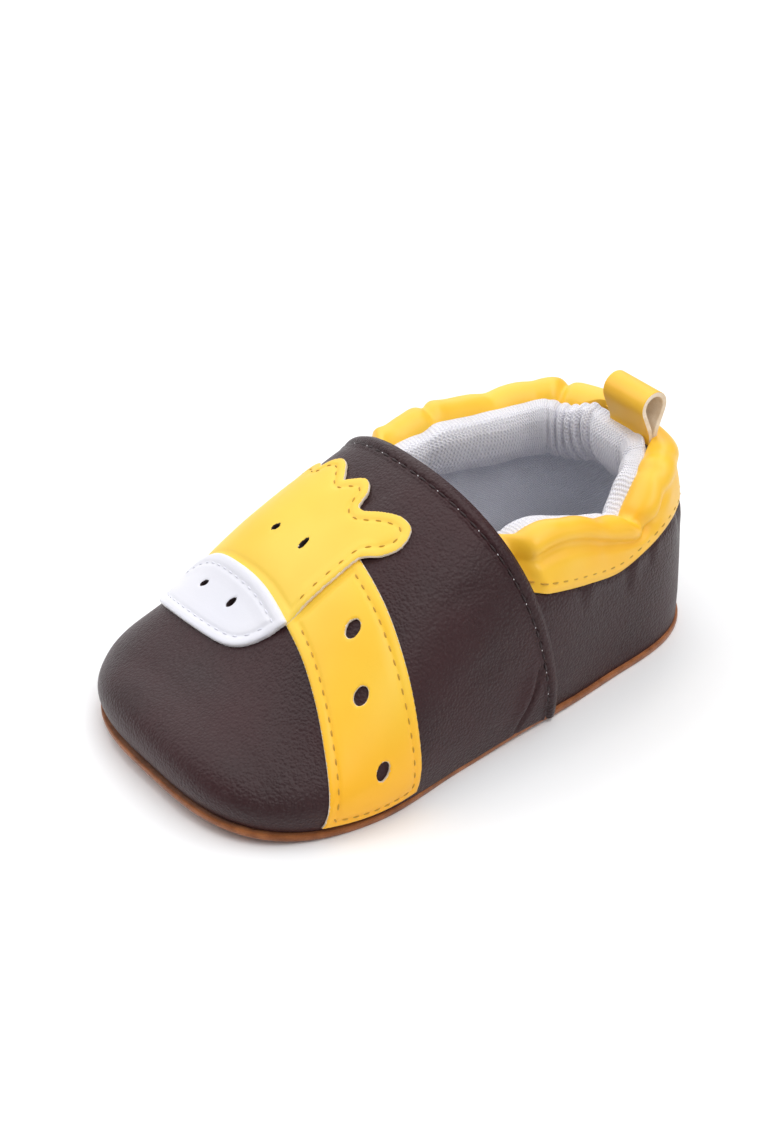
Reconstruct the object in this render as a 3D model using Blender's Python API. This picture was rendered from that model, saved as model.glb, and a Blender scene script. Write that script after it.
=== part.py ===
"""A baby's soft slip-on bootie: suede sole, leather vamp and quarter, elastic collar, pull loop and a giraffe.

Metres. The toe points along -Y, the heel along +Y, the wearer's left is +X and the ground is z = 0.
A place along the shoe is a share of its length, 0 at the toe and 1 at the heel.
"""

import math

import bmesh
import bpy
import numpy as np

# Driving sizes of the shoe
LENGTH = 0.120
BALL_WIDTH = 0.0690
INSTEP_HEIGHT = 0.0465
COLLAR_HEIGHT = 0.0410

# Outsole
SOLE_THICKNESS = 0.0015
SOLE_ROUNDING = 0.0006
TOE_SPRING = 0.0030
TOE_SPRING_LENGTH = 0.024
ARCH_LIFT = 0.0006

# Insole
INSOLE_THICKNESS = 0.0025

# Walls, and the gap between neighbouring pieces
GAP = 0.0003
UPPER_WALL = 0.0018
VAMP_STEP = 0.0009
SOLE_RIM = 0.0010
BELLY = 0.0015
BELLY_HEIGHT = 0.0090

# Where the vamp's rear edge runs, as shares of the length
THROAT = 0.525
THROAT_FOOT = 0.605
THROAT_CURVE = 1.9
QUARTER_FRONT = 0.45

# Collar band and its padded lining. The band's front ends run in under the vamp.
BAND_WALL = 0.0018
BAND_PROUD = 0.0004
BAND_ROLL = 0.0036
BAND_LIP = math.radians(145)
BAND_LIP_AT_LOOP = math.radians(90)
BAND_FRONT = 0.51
TUCK_LOW = 0.0017
TUCK_HIGH = 0.0038
TUCK_START = 0.570
TUCK_END = 0.600
PAD_THICKNESS = 0.0042
PAD_DEPTH = 0.0150

# Pull loop, sewn in at the heel
LOOP_WIDTH = 0.0115
LOOP_WALL = 0.0011
LOOP_HEIGHT = 0.0102
LOOP_DEPTH = 0.0066
LOOP_ROOT = 0.0016
LOOP_CENTRE = 0.0060
LOOP_SIDE_ROOM = 0.0025
LOOP_RAMP = 0.0090

# Applique pieces on the vamp
NECK_THICKNESS = 0.0007
HEAD_THICKNESS = 0.0009
MUZZLE_THICKNESS = 0.0011
SPOT_RADIUS = 0.0014
SPOT_CORNERS = 12
APPLIQUE_CELL = 0.0040
FOOT_SQUEEZE = 0.96

# Half widths and the centre line, as shares of half the ball width, before the ends are rounded
PLAN_ALONG = (0.00, 0.15, 0.25, 0.40, 0.60, 0.80, 1.00)
PLAN_HALF = (0.935, 1.02, 1.00, 0.92, 0.865, 0.785, 0.76)
PLAN_CENTRE = (0.007, -0.043, -0.003, 0.017, 0.022, 0.017, 0.017)
TOE_ROUND_LENGTH = 0.30
TOE_SQUARENESS = 3.25
HEEL_ROUND_LENGTH = 0.23
HEEL_SQUARENESS = 2.7

# The upper's cross sections: crown height as a share of the instep height, and how boxy each one is.
# Behind the throat the crown is open, and its height sets how the walls lean in.
CROWN_ALONG = (0.000, 0.030, 0.100, 0.210, 0.365, 0.505, 0.600, 0.800, 1.000)
CROWN_HEIGHT = (0.00, 0.24, 0.32, 0.47, 0.83, 1.01, 1.07, 1.30, 1.42)
BOX_ALONG = (0.00, 0.20, 0.50, 1.00)
BOX_SIDE = (2.30, 2.30, 2.30, 2.60)
BOX_TOP = (2.15, 2.45, 3.10, 3.40)
BELLY_SHARE = (1.00, 1.00, 0.90, 0.10)
RIM_SHARE = (1.00, 0.45, 0.10, -0.50)

# The collar's lower seam and its top, as shares of the collar height, on the wearer's left and right
COLLAR_ALONG = (0.45, 0.55, 0.62, 0.69, 0.76, 0.83, 0.90, 1.00)
SEAM_LEFT = (0.72, 0.735, 0.68, 0.63, 0.595, 0.63, 0.675, 0.69)
SEAM_RIGHT = (0.72, 0.735, 0.68, 0.63, 0.60, 0.63, 0.675, 0.69)
TOP_LEFT = (0.90, 0.965, 0.985, 0.930, 0.850, 0.860, 0.965, 0.970)
TOP_RIGHT = (0.90, 0.98, 1.01, 1.02, 1.01, 0.99, 0.98, 0.970)

# Outlines of the giraffe, each point as its distance from the instep's middle line over the leather, as a share
# of the ball width and positive to the wearer's left, and its place along the shoe. A point given twice is a corner.
HEAD_ACROSS = (
    0.080, 0.080, 0.106, 0.126, 0.141, 0.174, 0.200, 0.183, 0.138, 0.083, 0.029, 0.003, 0.003,
    -0.010, -0.049, -0.093, -0.112, -0.112, -0.136, -0.170, -0.203, -0.241, -0.267, -0.267,
    -0.290, -0.328, -0.365, -0.380, -0.380, -0.420, -0.471, -0.530, -0.562, -0.551, -0.507,
    -0.486, -0.486, -0.500, -0.500, -0.362, -0.203, -0.058,
)
HEAD_ALONG = (
    0.262, 0.262, 0.300, 0.335, 0.365, 0.383, 0.412, 0.440, 0.444, 0.432, 0.416, 0.418, 0.418,
    0.443, 0.456, 0.445, 0.438, 0.438, 0.451, 0.466, 0.471, 0.466, 0.452, 0.452,
    0.461, 0.464, 0.455, 0.444, 0.444, 0.434, 0.449, 0.449, 0.427, 0.400, 0.380,
    0.350, 0.310, 0.272, 0.272, 0.288, 0.284, 0.276,
)
MUZZLE_ACROSS = (
    0.080, 0.080, -0.058, -0.203, -0.362, -0.500, -0.500, -0.522, -0.478, -0.377, -0.217, -0.072, 0.000, 0.046,
)
MUZZLE_ALONG = (
    0.255, 0.255, 0.2715, 0.2795, 0.2835, 0.2675, 0.2675, 0.240, 0.208, 0.189, 0.178, 0.180, 0.195, 0.225,
)
NECK_ACROSS = (
    0.088, 0.088, 0.188, 0.314, 0.439, 0.555, 0.604, 0.604, 0.770, 0.770, 0.685, 0.575, 0.430, 0.290,
    0.152, 0.152, 0.137, 0.117,
)
NECK_ALONG = (
    0.252, 0.252, 0.235, 0.209, 0.1775, 0.1485, 0.136, 0.136, 0.300, 0.300, 0.304, 0.3125, 0.331, 0.349,
    0.3645, 0.3645, 0.335, 0.300,
)
SPOT_ACROSS = (0.255, 0.390, 0.571)
SPOT_ALONG = (0.302, 0.262, 0.241)

# Mesh fineness
VAMP_ROWS = 21
VAMP_COLUMNS = 34
WALL_COLUMNS = 54
WALL_ROWS = 7
BAND_COLUMNS = 48
SOLE_STATIONS = 34
OUTLINE_SAMPLES = 400
CORNER_SHARE = 0.10
CURVE_STEPS = 2


def smooth(table_x, table_y, x):
    """Smooth curve through a table's points, at the places x."""
    xs = np.asarray(table_x, float)
    ys = np.asarray(table_y, float)
    slopes = np.gradient(ys, xs)
    x = np.clip(np.asarray(x, float), xs[0], xs[-1])
    i = np.clip(np.searchsorted(xs, x, side="right") - 1, 0, len(xs) - 2)
    step = xs[i + 1] - xs[i]
    t = (x - xs[i]) / step
    rise = ys[i + 1] - ys[i]
    start = slopes[i] * step
    end = slopes[i + 1] * step
    return ys[i] + t * (start + t * (3 * rise - 2 * start - end + t * (start + end - 2 * rise)))


def ease(x):
    """0 below 0, 1 above 1 and a smooth ramp between."""
    x = np.clip(x, 0.0, 1.0)
    return x * x * (3 - 2 * x)


def rounding(share, squareness):
    """Height of a superellipse at a share of the way from its tip to its widest place."""
    inside = 1 - (1 - np.clip(share, 0.0, 1.0)) ** squareness
    return np.maximum(inside, 0.0) ** (1 / squareness)


def straight_half(along):
    """Half width of the sole before its ends are rounded."""
    return smooth(PLAN_ALONG, PLAN_HALF, along) * BALL_WIDTH / 2


def half_width(along):
    """Half width of the sole."""
    toe = rounding(along / TOE_ROUND_LENGTH, TOE_SQUARENESS)
    heel = rounding((1 - along) / HEEL_ROUND_LENGTH, HEEL_SQUARENESS)
    return straight_half(along) * toe * heel


def centre_line(along):
    return smooth(PLAN_ALONG, PLAN_CENTRE, along) * BALL_WIDTH / 2


def along_to_y(along):
    return (along - 0.5) * LENGTH


def ground(along):
    """Underside of the sole: toe spring, a flat forefoot, a slight arch and a flat heel."""
    toe = np.clip(1 - along * LENGTH / TOE_SPRING_LENGTH, 0.0, None)
    arch = np.clip(1 - ((along - 0.55) / 0.13) ** 2, 0.0, None)
    return TOE_SPRING * toe**2 + ARCH_LIFT * arch**2


def floor(along):
    """Foot of the upper, just above the outsole."""
    return ground(along) + SOLE_THICKNESS + GAP


def crown(along):
    """Top of the upper's cross section."""
    share = smooth(np.sqrt(CROWN_ALONG), CROWN_HEIGHT, np.sqrt(along))
    return floor(along) + share * (INSTEP_HEIGHT - SOLE_THICKNESS - GAP)


def belly(along, height):
    """How far the upper stands out from the sole's edge, by the height above its foot."""
    most = BELLY * smooth(BOX_ALONG, BELLY_SHARE, along)
    rim = SOLE_RIM * smooth(BOX_ALONG, RIM_SHARE, along)
    rise = 1 - np.clip(height / BELLY_HEIGHT, 0.0, 1.0)
    return most - (most + rim) * rise**2


def arch_point(along, turn):
    """Point of the plain arch across the shoe, from its left foot at turn 0 to its right foot at turn pi."""
    side = smooth(BOX_ALONG, BOX_SIDE, along)
    top = smooth(BOX_ALONG, BOX_TOP, along)
    cosine = np.cos(turn)
    sine = np.maximum(np.sin(turn), 0.0)
    x = centre_line(along) + half_width(along) * np.sign(cosine) * np.abs(cosine) ** (2 / side)
    z = floor(along) + (crown(along) - floor(along)) * sine ** (2 / top)
    return np.stack([x, along_to_y(along), z], axis=-1)


def unit(vectors):
    return vectors / np.maximum(np.linalg.norm(vectors, axis=-1, keepdims=True), 1e-12)


def arch_normal(along, turn):
    """Direction out of the arch's surface. The toe's tip, where all the arches meet, points forward."""
    step = 1e-4
    near = np.maximum(along, 4 * step)
    turn_low = np.clip(turn - step, step, math.pi - step)
    turn_high = np.clip(turn + step, 2 * step, math.pi)
    lengthwise = arch_point(near + step, turn) - arch_point(near - step, turn)
    crosswise = arch_point(near, turn_high) - arch_point(near, turn_low)
    normal = unit(np.cross(lengthwise, crosswise))
    forward = np.array([0.0, -1.0, 0.0])
    return np.where((along < step)[..., None], forward, normal)


def skin(along, turn, out):
    """Point at the distance out from the upper's surface, over the toe, the vamp and the sides."""
    along, turn, out = np.broadcast_arrays(along, turn, out)
    along = along.astype(float)
    point = arch_point(along, turn)
    normal = arch_normal(along, turn)
    sideways = normal * np.array([1.0, 1.0, 0.0])
    height = point[..., 2] - floor(along)
    return point + normal * out[..., None] + sideways * belly(along, height)[..., None]


def throat(turn):
    """Share of the length at which the vamp's rear edge crosses an arch."""
    across = np.abs(np.asarray(turn) / (math.pi / 2) - 1)
    return THROAT + (THROAT_FOOT - THROAT) * across**THROAT_CURVE


def outline(front):
    """Edge of the sole behind a share of the length: places along, points and outward directions, by run 0 to 1.

    The directions are averaged along the run, so that pieces deep inside don't fold at the heel's corners.
    """
    t = np.linspace(math.acos(1 - 2 * front), math.pi, OUTLINE_SAMPLES)
    along = (1 - np.cos(t)) / 2
    left = np.stack([centre_line(along) + half_width(along), along_to_y(along)], axis=-1)
    right = np.stack([centre_line(along) - half_width(along), along_to_y(along)], axis=-1)
    points = np.concatenate([left, right[-2::-1]])
    along = np.concatenate([along, along[-2::-1]])
    steps = np.linalg.norm(np.diff(points, axis=0), axis=1)
    run = np.concatenate([[0.0], np.cumsum(steps)])
    tangent = np.gradient(points, run, axis=0)
    run /= run[-1]
    evenly = np.linspace(0.0, 1.0, OUTLINE_SAMPLES)
    half = int(CORNER_SHARE * OUTLINE_SAMPLES / 2)
    window = np.ones(2 * half + 1) / (2 * half + 1)
    spread = [np.convolve(np.pad(np.interp(evenly, run, tangent[:, k]), half, "edge"), window, "valid") for k in (0, 1)]
    tangent = unit(np.stack([np.interp(run, evenly, each) for each in spread], axis=-1))
    return run, along, points, np.stack([tangent[:, 1], -tangent[:, 0]], axis=-1)


def on_outline(front, run):
    """Place along, point and outward direction at a run around the heel, 0 on the left and 1 on the right."""
    runs, alongs, points, outward = outline(front)
    along = np.interp(run, runs, alongs)
    base = np.stack([np.interp(run, runs, points[:, k]) for k in (0, 1)], axis=-1)
    direction = unit(np.stack([np.interp(run, runs, outward[:, k]) for k in (0, 1)], axis=-1))
    return along, base, direction


def wall(front, run, z, out):
    """Point at a height on the side or heel wall, at the distance out from it. It continues the vamp's surface."""
    run, z, out = np.broadcast_arrays(run, z, out)
    along, base, direction = on_outline(front, run)
    side = smooth(BOX_ALONG, BOX_SIDE, along)
    top = smooth(BOX_ALONG, BOX_TOP, along)
    height = z - floor(along)
    share = np.clip(height / (crown(along) - floor(along)), 0.0, 1.0)
    lean = straight_half(along) * (1 - (1 - share**top) ** (1 / side))
    reach = out + belly(along, height) - lean
    return np.concatenate([base + direction * reach[..., None], z[..., None]], axis=-1)


def collar_heights(front, run):
    """Heights of the collar's lower seam and of its top, around the heel."""
    along = on_outline(front, run)[0]
    left = np.asarray(run) < 0.5
    seam = np.where(left, smooth(COLLAR_ALONG, SEAM_LEFT, along), smooth(COLLAR_ALONG, SEAM_RIGHT, along))
    top = np.where(left, smooth(COLLAR_ALONG, TOP_LEFT, along), smooth(COLLAR_ALONG, TOP_RIGHT, along))
    return seam * COLLAR_HEIGHT, top * COLLAR_HEIGHT


def clear_scene():
    for old in list(bpy.data.objects):
        bpy.data.objects.remove(old)


def material(name, colour, roughness):
    """Plain material of one colour, given as linear red, green and blue."""
    made = bpy.data.materials.new(name)
    made.use_nodes = True
    shader = made.node_tree.nodes["Principled BSDF"]
    shader.inputs["Base Color"].default_value = (*colour, 1.0)
    shader.inputs["Roughness"].default_value = roughness
    shader.inputs["Metallic"].default_value = 0.0
    return made


def add_object(name, bm, made_of):
    """Object from a bmesh, with its faces outward and its round parts shaded smooth."""
    bmesh.ops.recalc_face_normals(bm, faces=bm.faces)
    mesh = bpy.data.meshes.new(name)
    bm.to_mesh(mesh)
    bm.free()
    mesh.shade_smooth()
    mesh.set_sharp_from_angle(angle=math.radians(40))
    mesh.materials.append(made_of)
    obj = bpy.data.objects.new(name, mesh)
    bpy.context.collection.objects.link(obj)
    return obj


def add_grid(bm, points):
    """Vertices of a grid of points, row by row."""
    return [[bm.verts.new(p) for p in row] for row in points]


def join_rows(bm, first, second):
    """Faces between two rows of as many vertices."""
    for a, b, c, d in zip(first, first[1:], second[1:], second):
        corners = list(dict.fromkeys((a, b, c, d)))
        if len(corners) > 2:
            bm.faces.new(corners)


def fill_grid(bm, grid):
    for first, second in zip(grid, grid[1:]):
        join_rows(bm, first, second)


def vamp_shell():
    """Toe, sides and instep: an outer and an inner skin, joined along the foot and the rear edge."""
    rows = np.linspace(0.0, 1.0, VAMP_ROWS + 1)[1:] ** 1.7
    turns = even_turns(VAMP_COLUMNS)
    along = rows[:, None] * throat(turns)[None, :]
    bm = bmesh.new()
    skins = []
    for out in (0.0, -UPPER_WALL):
        tip = bm.verts.new(skin(np.array(0.0), np.array(0.0), np.array(out)))
        grid = add_grid(bm, skin(along, turns[None, :], out))
        skins.append([[tip] * len(turns)] + grid)
    outer, inner = skins
    fill_grid(bm, outer)
    fill_grid(bm, inner)
    join_rows(bm, outer[-1], inner[-1])
    for column in (0, -1):
        join_rows(bm, [row[column] for row in outer], [row[column] for row in inner])
    return bm


def even_turns(count):
    """Turns whose points are evenly spaced over the arch at the throat."""
    turns = np.linspace(0.0, math.pi, 721)
    points = arch_point(np.full_like(turns, THROAT), turns)
    length = np.concatenate([[0.0], np.cumsum(np.linalg.norm(np.diff(points, axis=0), axis=1))])
    return np.interp(np.linspace(0.0, length[-1], count + 1), length, turns)


def quarter_shell():
    """Sides and heel up to the collar's seam. The front ends are inside the vamp's wall."""
    run = np.linspace(0.0, 1.0, WALL_COLUMNS + 1)
    low = floor(on_outline(QUARTER_FRONT, run)[0])
    high = collar_heights(QUARTER_FRONT, run)[0] - GAP
    rows = np.linspace(0.0, 1.0, WALL_ROWS + 1) ** 1.3
    z = low + rows[:, None] * (high - low)
    bm = bmesh.new()
    outer = add_grid(bm, wall(QUARTER_FRONT, run, z, -VAMP_STEP))
    inner = add_grid(bm, wall(QUARTER_FRONT, run, z, -VAMP_STEP - UPPER_WALL))
    fill_grid(bm, outer)
    fill_grid(bm, inner)
    for row in (0, -1):
        join_rows(bm, outer[row], inner[row])
    for column in (0, -1):
        join_rows(bm, [row[column] for row in outer], [row[column] for row in inner])
    return bm


def build_upper():
    """Vamp and quarter, joined where the vamp overlaps the quarter with a step."""
    leather = material("brown_leather", (0.070, 0.040, 0.042), 0.45)
    upper = add_object("upper", vamp_shell(), leather)
    quarter = add_object("quarter_cutter", quarter_shell(), leather)
    quarter.hide_render = True
    quarter.display_type = "WIRE"
    joined = upper.modifiers.new("quarter", "BOOLEAN")
    joined.operation = "UNION"
    joined.solver = "EXACT"
    joined.object = quarter
    return upper


def sole_rings(insets, heights):
    """Rings around a sole, each with its inset from the edge and its height above the ground line."""
    t = np.linspace(0.0, math.pi, SOLE_STATIONS + 1)
    along = (1 - np.cos(t)) / 2
    left = np.stack([centre_line(along) + half_width(along), along_to_y(along)], axis=-1)
    right = np.stack([centre_line(along) - half_width(along), along_to_y(along)], axis=-1)
    ring = np.concatenate([left, right[-2:0:-1]])
    tangent = unit(np.roll(ring, -1, axis=0) - np.roll(ring, 1, axis=0))
    outward = np.stack([tangent[:, 1], -tangent[:, 0]], axis=-1)
    rings = []
    for inset, height in zip(insets, heights):
        moved = ring - outward * inset
        share = np.clip(moved[:, 1] / LENGTH + 0.5, 0.0, 1.0)
        rings.append(np.concatenate([moved, (ground(share) + height)[:, None]], axis=1))
    return rings


def sole_solid(insets, heights):
    """Solid between rings, closed above and below by straight strips across the shoe."""
    bm = bmesh.new()
    grid = add_grid(bm, sole_rings(insets, heights))
    for first, second in zip(grid, grid[1:]):
        join_rows(bm, first + first[:1], second + second[:1])
    for ring in (grid[0], grid[-1]):
        left = ring[: SOLE_STATIONS + 1]
        right = [ring[0]] + ring[: SOLE_STATIONS - 1 : -1]
        join_rows(bm, left, right)
    return bm


def build_outsole():
    suede = material("tan_suede", (0.30, 0.105, 0.028), 0.90)
    insets = (3 * SOLE_ROUNDING, SOLE_ROUNDING / 2, 0.0, 0.0, SOLE_ROUNDING / 2)
    top = SOLE_THICKNESS
    heights = (0.0, 0.0, SOLE_ROUNDING, top - SOLE_ROUNDING / 2, top)
    return add_object("outsole", sole_solid(insets, heights), suede)


def build_insole():
    cloth = material("white_insole", (0.78, 0.78, 0.82), 0.90)
    inset = SOLE_RIM + UPPER_WALL + VAMP_STEP + 2 * GAP
    low = SOLE_THICKNESS + GAP
    heights = (low, low + INSOLE_THICKNESS)
    return add_object("insole", sole_solid((inset, inset), heights), cloth)


def tube_around(sections):
    """Closed tube through a row of closed sections, with flat ends."""
    bm = bmesh.new()
    grid = add_grid(bm, sections)
    for first, second in zip(grid, grid[1:]):
        join_rows(bm, first + first[:1], second + second[:1])
    for end in (grid[0], grid[-1]):
        bm.faces.new(end)
    return bm


def tucked(along, share):
    """How far a collar piece moves in where it runs under the vamp, by its share of the band's height."""
    deep = TUCK_LOW + (TUCK_HIGH - TUCK_LOW) * share
    return deep * ease((TUCK_END - along) / (TUCK_END - TUCK_START))


def collar_ring(run, inward, height):
    """Ring around the ankle, its distance inward from the band's outer face and its height given at each run."""
    along = on_outline(BAND_FRONT, run)[0]
    seam, top = collar_heights(BAND_FRONT, run)
    straight = np.minimum(height, top - BAND_ROLL)
    share = np.clip((straight - seam) / (top - BAND_ROLL - seam), 0.0, 1.0)
    out = BAND_PROUD - VAMP_STEP - tucked(along, share) - inward
    ring = wall(BAND_FRONT, run, straight, out)
    ring[:, 2] = height
    return ring


def near_loop(run):
    """1 at the heel within the pull loop's width, falling to 0 beside it."""
    along, base, _ = on_outline(BAND_FRONT, run)
    beyond = np.abs(base[:, 0] - LOOP_CENTRE) - LOOP_WIDTH / 2 - LOOP_SIDE_ROOM
    return ease(1 - beyond / LOOP_RAMP) * (along > 1 - HEEL_ROUND_LENGTH / 2)


def lip_angle(run):
    """How far the band's top rolls over, from its outer face. It rolls less behind the pull loop."""
    return BAND_LIP - (BAND_LIP - BAND_LIP_AT_LOOP) * near_loop(run)


def lip_reach(run):
    """How far the band reaches inward at its lip."""
    return BAND_ROLL * (1 - np.cos(lip_angle(run)))


def lip_over_loop():
    """Band's lip over the pull loop's width: its furthest forward and back places along Y, and its height."""
    run = np.linspace(0.0, 1.0, OUTLINE_SAMPLES)
    run = run[near_loop(run) == 1.0]
    top = collar_heights(BAND_FRONT, run)[1]
    lip = collar_ring(run, lip_reach(run), top)
    return lip[:, 1].min(), lip[:, 1].max(), top.max()


def build_collar():
    """Leather band from the seam up, rolled inward at its top."""
    yellow = material("yellow_leather", (0.96, 0.52, 0.025), 0.42)
    run = np.linspace(0.0, 1.0, BAND_COLUMNS + 1)
    seam, top = collar_heights(BAND_FRONT, run)
    sides = []
    for radius in (BAND_ROLL, BAND_ROLL - BAND_WALL):
        inward = np.full_like(run, BAND_ROLL - radius)
        side = [collar_ring(run, inward, seam), collar_ring(run, inward, (seam + top - BAND_ROLL) / 2)]
        for share in np.linspace(0.0, 1.0, 5):
            angle = lip_angle(run) * share
            height = top - BAND_ROLL + radius * np.sin(angle)
            side.append(collar_ring(run, BAND_ROLL - radius * np.cos(angle), height))
        sides.append(side)
    outer, inner = sides
    return add_object("collar", tube_around(np.stack(outer + inner[::-1], axis=1)), yellow)


def build_collar_lining():
    """Padded roll from under the band's lip down into the shoe."""
    white = material("white_lining", (0.80, 0.80, 0.84), 0.90)
    run = np.linspace(0.0, 1.0, BAND_COLUMNS + 1)
    top = collar_heights(BAND_FRONT, run)[1]
    room = loop_room(run)
    radius = BAND_ROLL - BAND_WALL - 2 * GAP
    rings = []
    for share in (0.0, 0.45, 0.8, 1.0):
        angle = lip_angle(run) * share
        height = top - BAND_ROLL + radius * np.sin(angle)
        rings.append(collar_ring(run, room + BAND_ROLL - radius * np.cos(angle), height))
    angle = lip_angle(run)
    for radius in (BAND_ROLL - BAND_WALL - 2 * GAP, BAND_ROLL):
        inward = BAND_ROLL - radius * np.cos(angle) + 2 * GAP * np.sin(angle)
        height = top - BAND_ROLL + radius * np.sin(angle) + 2 * GAP * np.cos(angle)
        rings.append(collar_ring(run, room + inward, height))
    beyond_lip = ((0.36, 0.04), (0.75, 0.06), (1.00, 0.20), (1.04, 0.40), (0.85, 0.66), (0.20, 0.92))
    lip = room + lip_reach(run)
    under_lip = top - BAND_ROLL * (1 - np.sin(angle))
    for share, drop in beyond_lip:
        rings.append(collar_ring(run, lip + share * PAD_THICKNESS, under_lip - drop * PAD_DEPTH))
    behind_quarter = BAND_PROUD + UPPER_WALL + 2 * GAP
    for share, drop in ((0.30, 1.00), (0.0, 0.75), (0.0, 0.50)):
        inward = behind_quarter + share * PAD_THICKNESS
        rings.append(collar_ring(run, room + inward, under_lip - drop * PAD_DEPTH))
    return add_object("collar_lining", tube_around(np.stack(rings, axis=1)), white)


def loop_room(run):
    """Extra gap at the heel, between the band and the padded lining, for the pull loop's root."""
    front, back, _ = lip_over_loop()
    return (2 * LOOP_WALL + 2 * GAP + back - front) * near_loop(run)


def fill_outlines(bm, loops):
    """Flat triangles inside the first loop and outside the others, all in the plane z = 0."""
    for loop in loops:
        corners = [bm.verts.new((x, y, 0.0)) for x, y in loop]
        for start, end in zip(corners, corners[1:] + corners[:1]):
            bm.edges.new((start, end))
    bmesh.ops.triangle_fill(bm, use_beauty=True, edges=bm.edges[:], normal=(0.0, 0.0, 1.0))


def build_pull_loop():
    """Strip folded into a teardrop, whose two ends go down together between the band and the lining."""
    yellow = material("yellow_loop", (0.96, 0.56, 0.035), 0.42)
    front, _, top = lip_over_loop()
    back = front - GAP
    stem = back - LOOP_WALL
    throat_height = top + GAP
    outer_radius = LOOP_DEPTH / 2
    round_height = top + LOOP_HEIGHT - outer_radius
    low = top - LOOP_ROOT
    turn = np.linspace(0.0, math.pi, 9)
    outer = [(stem - LOOP_WALL, low), (back, low), (back, throat_height)]
    outer += [(stem + outer_radius * math.cos(a), round_height + outer_radius * math.sin(a)) for a in turn]
    outer += [(stem - LOOP_WALL, throat_height)]
    hole = [(stem, throat_height + LOOP_WALL)]
    radius = outer_radius - LOOP_WALL
    hole += [(stem + radius * math.cos(a), round_height + radius * math.sin(a)) for a in turn]
    bm = bmesh.new()
    fill_outlines(bm, [outer, hole])
    extruded = bmesh.ops.extrude_face_region(bm, geom=bm.faces[:])
    moved = [each for each in extruded["geom"] if isinstance(each, bmesh.types.BMVert)]
    bmesh.ops.translate(bm, verts=moved, vec=(0.0, 0.0, LOOP_WIDTH))
    for vert in bm.verts:
        y, z, x = vert.co
        vert.co = (LOOP_CENTRE - LOOP_WIDTH / 2 + x, y, z)
    return add_object("pull_loop", bm, yellow)


def rounded_outline(across, along):
    """Smooth closed curve through an outline's points, in metres over the flat leather. Doubled points stay corners."""
    points = np.stack([np.array(across) * BALL_WIDTH, np.array(along) * LENGTH], axis=-1)
    count = len(points)
    curve = []
    for i in range(count):
        before, start, end, after = (points[(i + k) % count] for k in (-1, 0, 1, 2))
        if np.allclose(start, end):
            continue
        leave = np.zeros(2) if np.allclose(before, start) else (end - before) / 2
        arrive = np.zeros(2) if np.allclose(end, after) else (after - start) / 2
        for t in np.arange(CURVE_STEPS) / CURVE_STEPS:
            bend = t * (leave + t * (3 * (end - start) - 2 * leave - arrive + t * (leave + arrive - 2 * (end - start))))
            curve.append(tuple(start + bend))
    return curve


def circle(across, along, radius, corners):
    turns = np.arange(corners) * 2 * math.pi / corners
    return [(across + radius * math.cos(a), along + radius * math.sin(a)) for a in turns]


def turn_at(along, across):
    """Turn on the arch at a place along, at a distance over the leather from its middle. It stops short of the sole."""
    turns = np.linspace(0.0, math.pi, 361)
    arch = skin(np.full_like(turns, along), turns, 0.0)
    length = np.concatenate([[0.0], np.cumsum(np.linalg.norm(np.diff(arch, axis=0), axis=1))])
    middle = np.interp(math.pi / 2, turns, length)
    share = abs(across) / (middle - 2 * GAP)
    if share > FOOT_SQUEEZE:
        room = 1 - FOOT_SQUEEZE
        share = FOOT_SQUEEZE + room * math.tanh((share - FOOT_SQUEEZE) / room)
    place = middle - math.copysign(share, across) * (middle - 2 * GAP)
    return float(np.interp(place, length, turns))


def applique(name, made_of, outline_points, holes, thickness):
    """Leather piece that follows the vamp's own surface, a gap above it."""
    flat = bmesh.new()
    fill_outlines(flat, [outline_points] + holes)
    for axis in (0, 1):
        values = [point[axis] for point in outline_points]
        for place in np.arange(min(values), max(values), APPLIQUE_CELL)[1:]:
            origin = [0.0, 0.0, 0.0]
            origin[axis] = place
            direction = [0.0, 0.0, 0.0]
            direction[axis] = 1.0
            parts = flat.verts[:] + flat.edges[:] + flat.faces[:]
            bmesh.ops.bisect_plane(flat, geom=parts, dist=1e-6, plane_co=origin, plane_no=direction)
    bmesh.ops.triangulate(flat, faces=flat.faces[:])
    bm = bmesh.new()
    layers = []
    turns = {vert: turn_at(vert.co.y / LENGTH, vert.co.x) for vert in flat.verts}
    for out in (GAP, GAP + thickness):
        places = {v: skin(np.array(v.co.y / LENGTH), np.array(turn), out) for v, turn in turns.items()}
        layers.append({vert: bm.verts.new(place) for vert, place in places.items()})
    low, high = layers
    for face in flat.faces:
        bm.faces.new([high[vert] for vert in face.verts])
        bm.faces.new([low[vert] for vert in reversed(face.verts)])
    for edge in flat.edges:
        if edge.is_boundary:
            start, end = edge.verts
            bm.faces.new((low[start], low[end], high[end], high[start]))
    flat.free()
    return add_object(name, bm, made_of)


def build_giraffe():
    """Head, muzzle and spotted neck, edge to edge on the vamp."""
    yellow = material("giraffe_yellow", (0.97, 0.60, 0.04), 0.45)
    white = material("giraffe_white", (0.85, 0.85, 0.88), 0.50)
    spots = [
        circle(across * BALL_WIDTH, along * LENGTH, SPOT_RADIUS, SPOT_CORNERS)
        for across, along in zip(SPOT_ACROSS, SPOT_ALONG)
    ]
    applique("giraffe_head", yellow, rounded_outline(HEAD_ACROSS, HEAD_ALONG), [], HEAD_THICKNESS)
    applique("giraffe_muzzle", white, rounded_outline(MUZZLE_ACROSS, MUZZLE_ALONG), [], MUZZLE_THICKNESS)
    applique("giraffe_neck", yellow, rounded_outline(NECK_ACROSS, NECK_ALONG), spots, NECK_THICKNESS)


clear_scene()
build_outsole()
build_insole()
build_upper()
build_collar()
build_collar_lining()
build_pull_loop()
build_giraffe()
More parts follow.
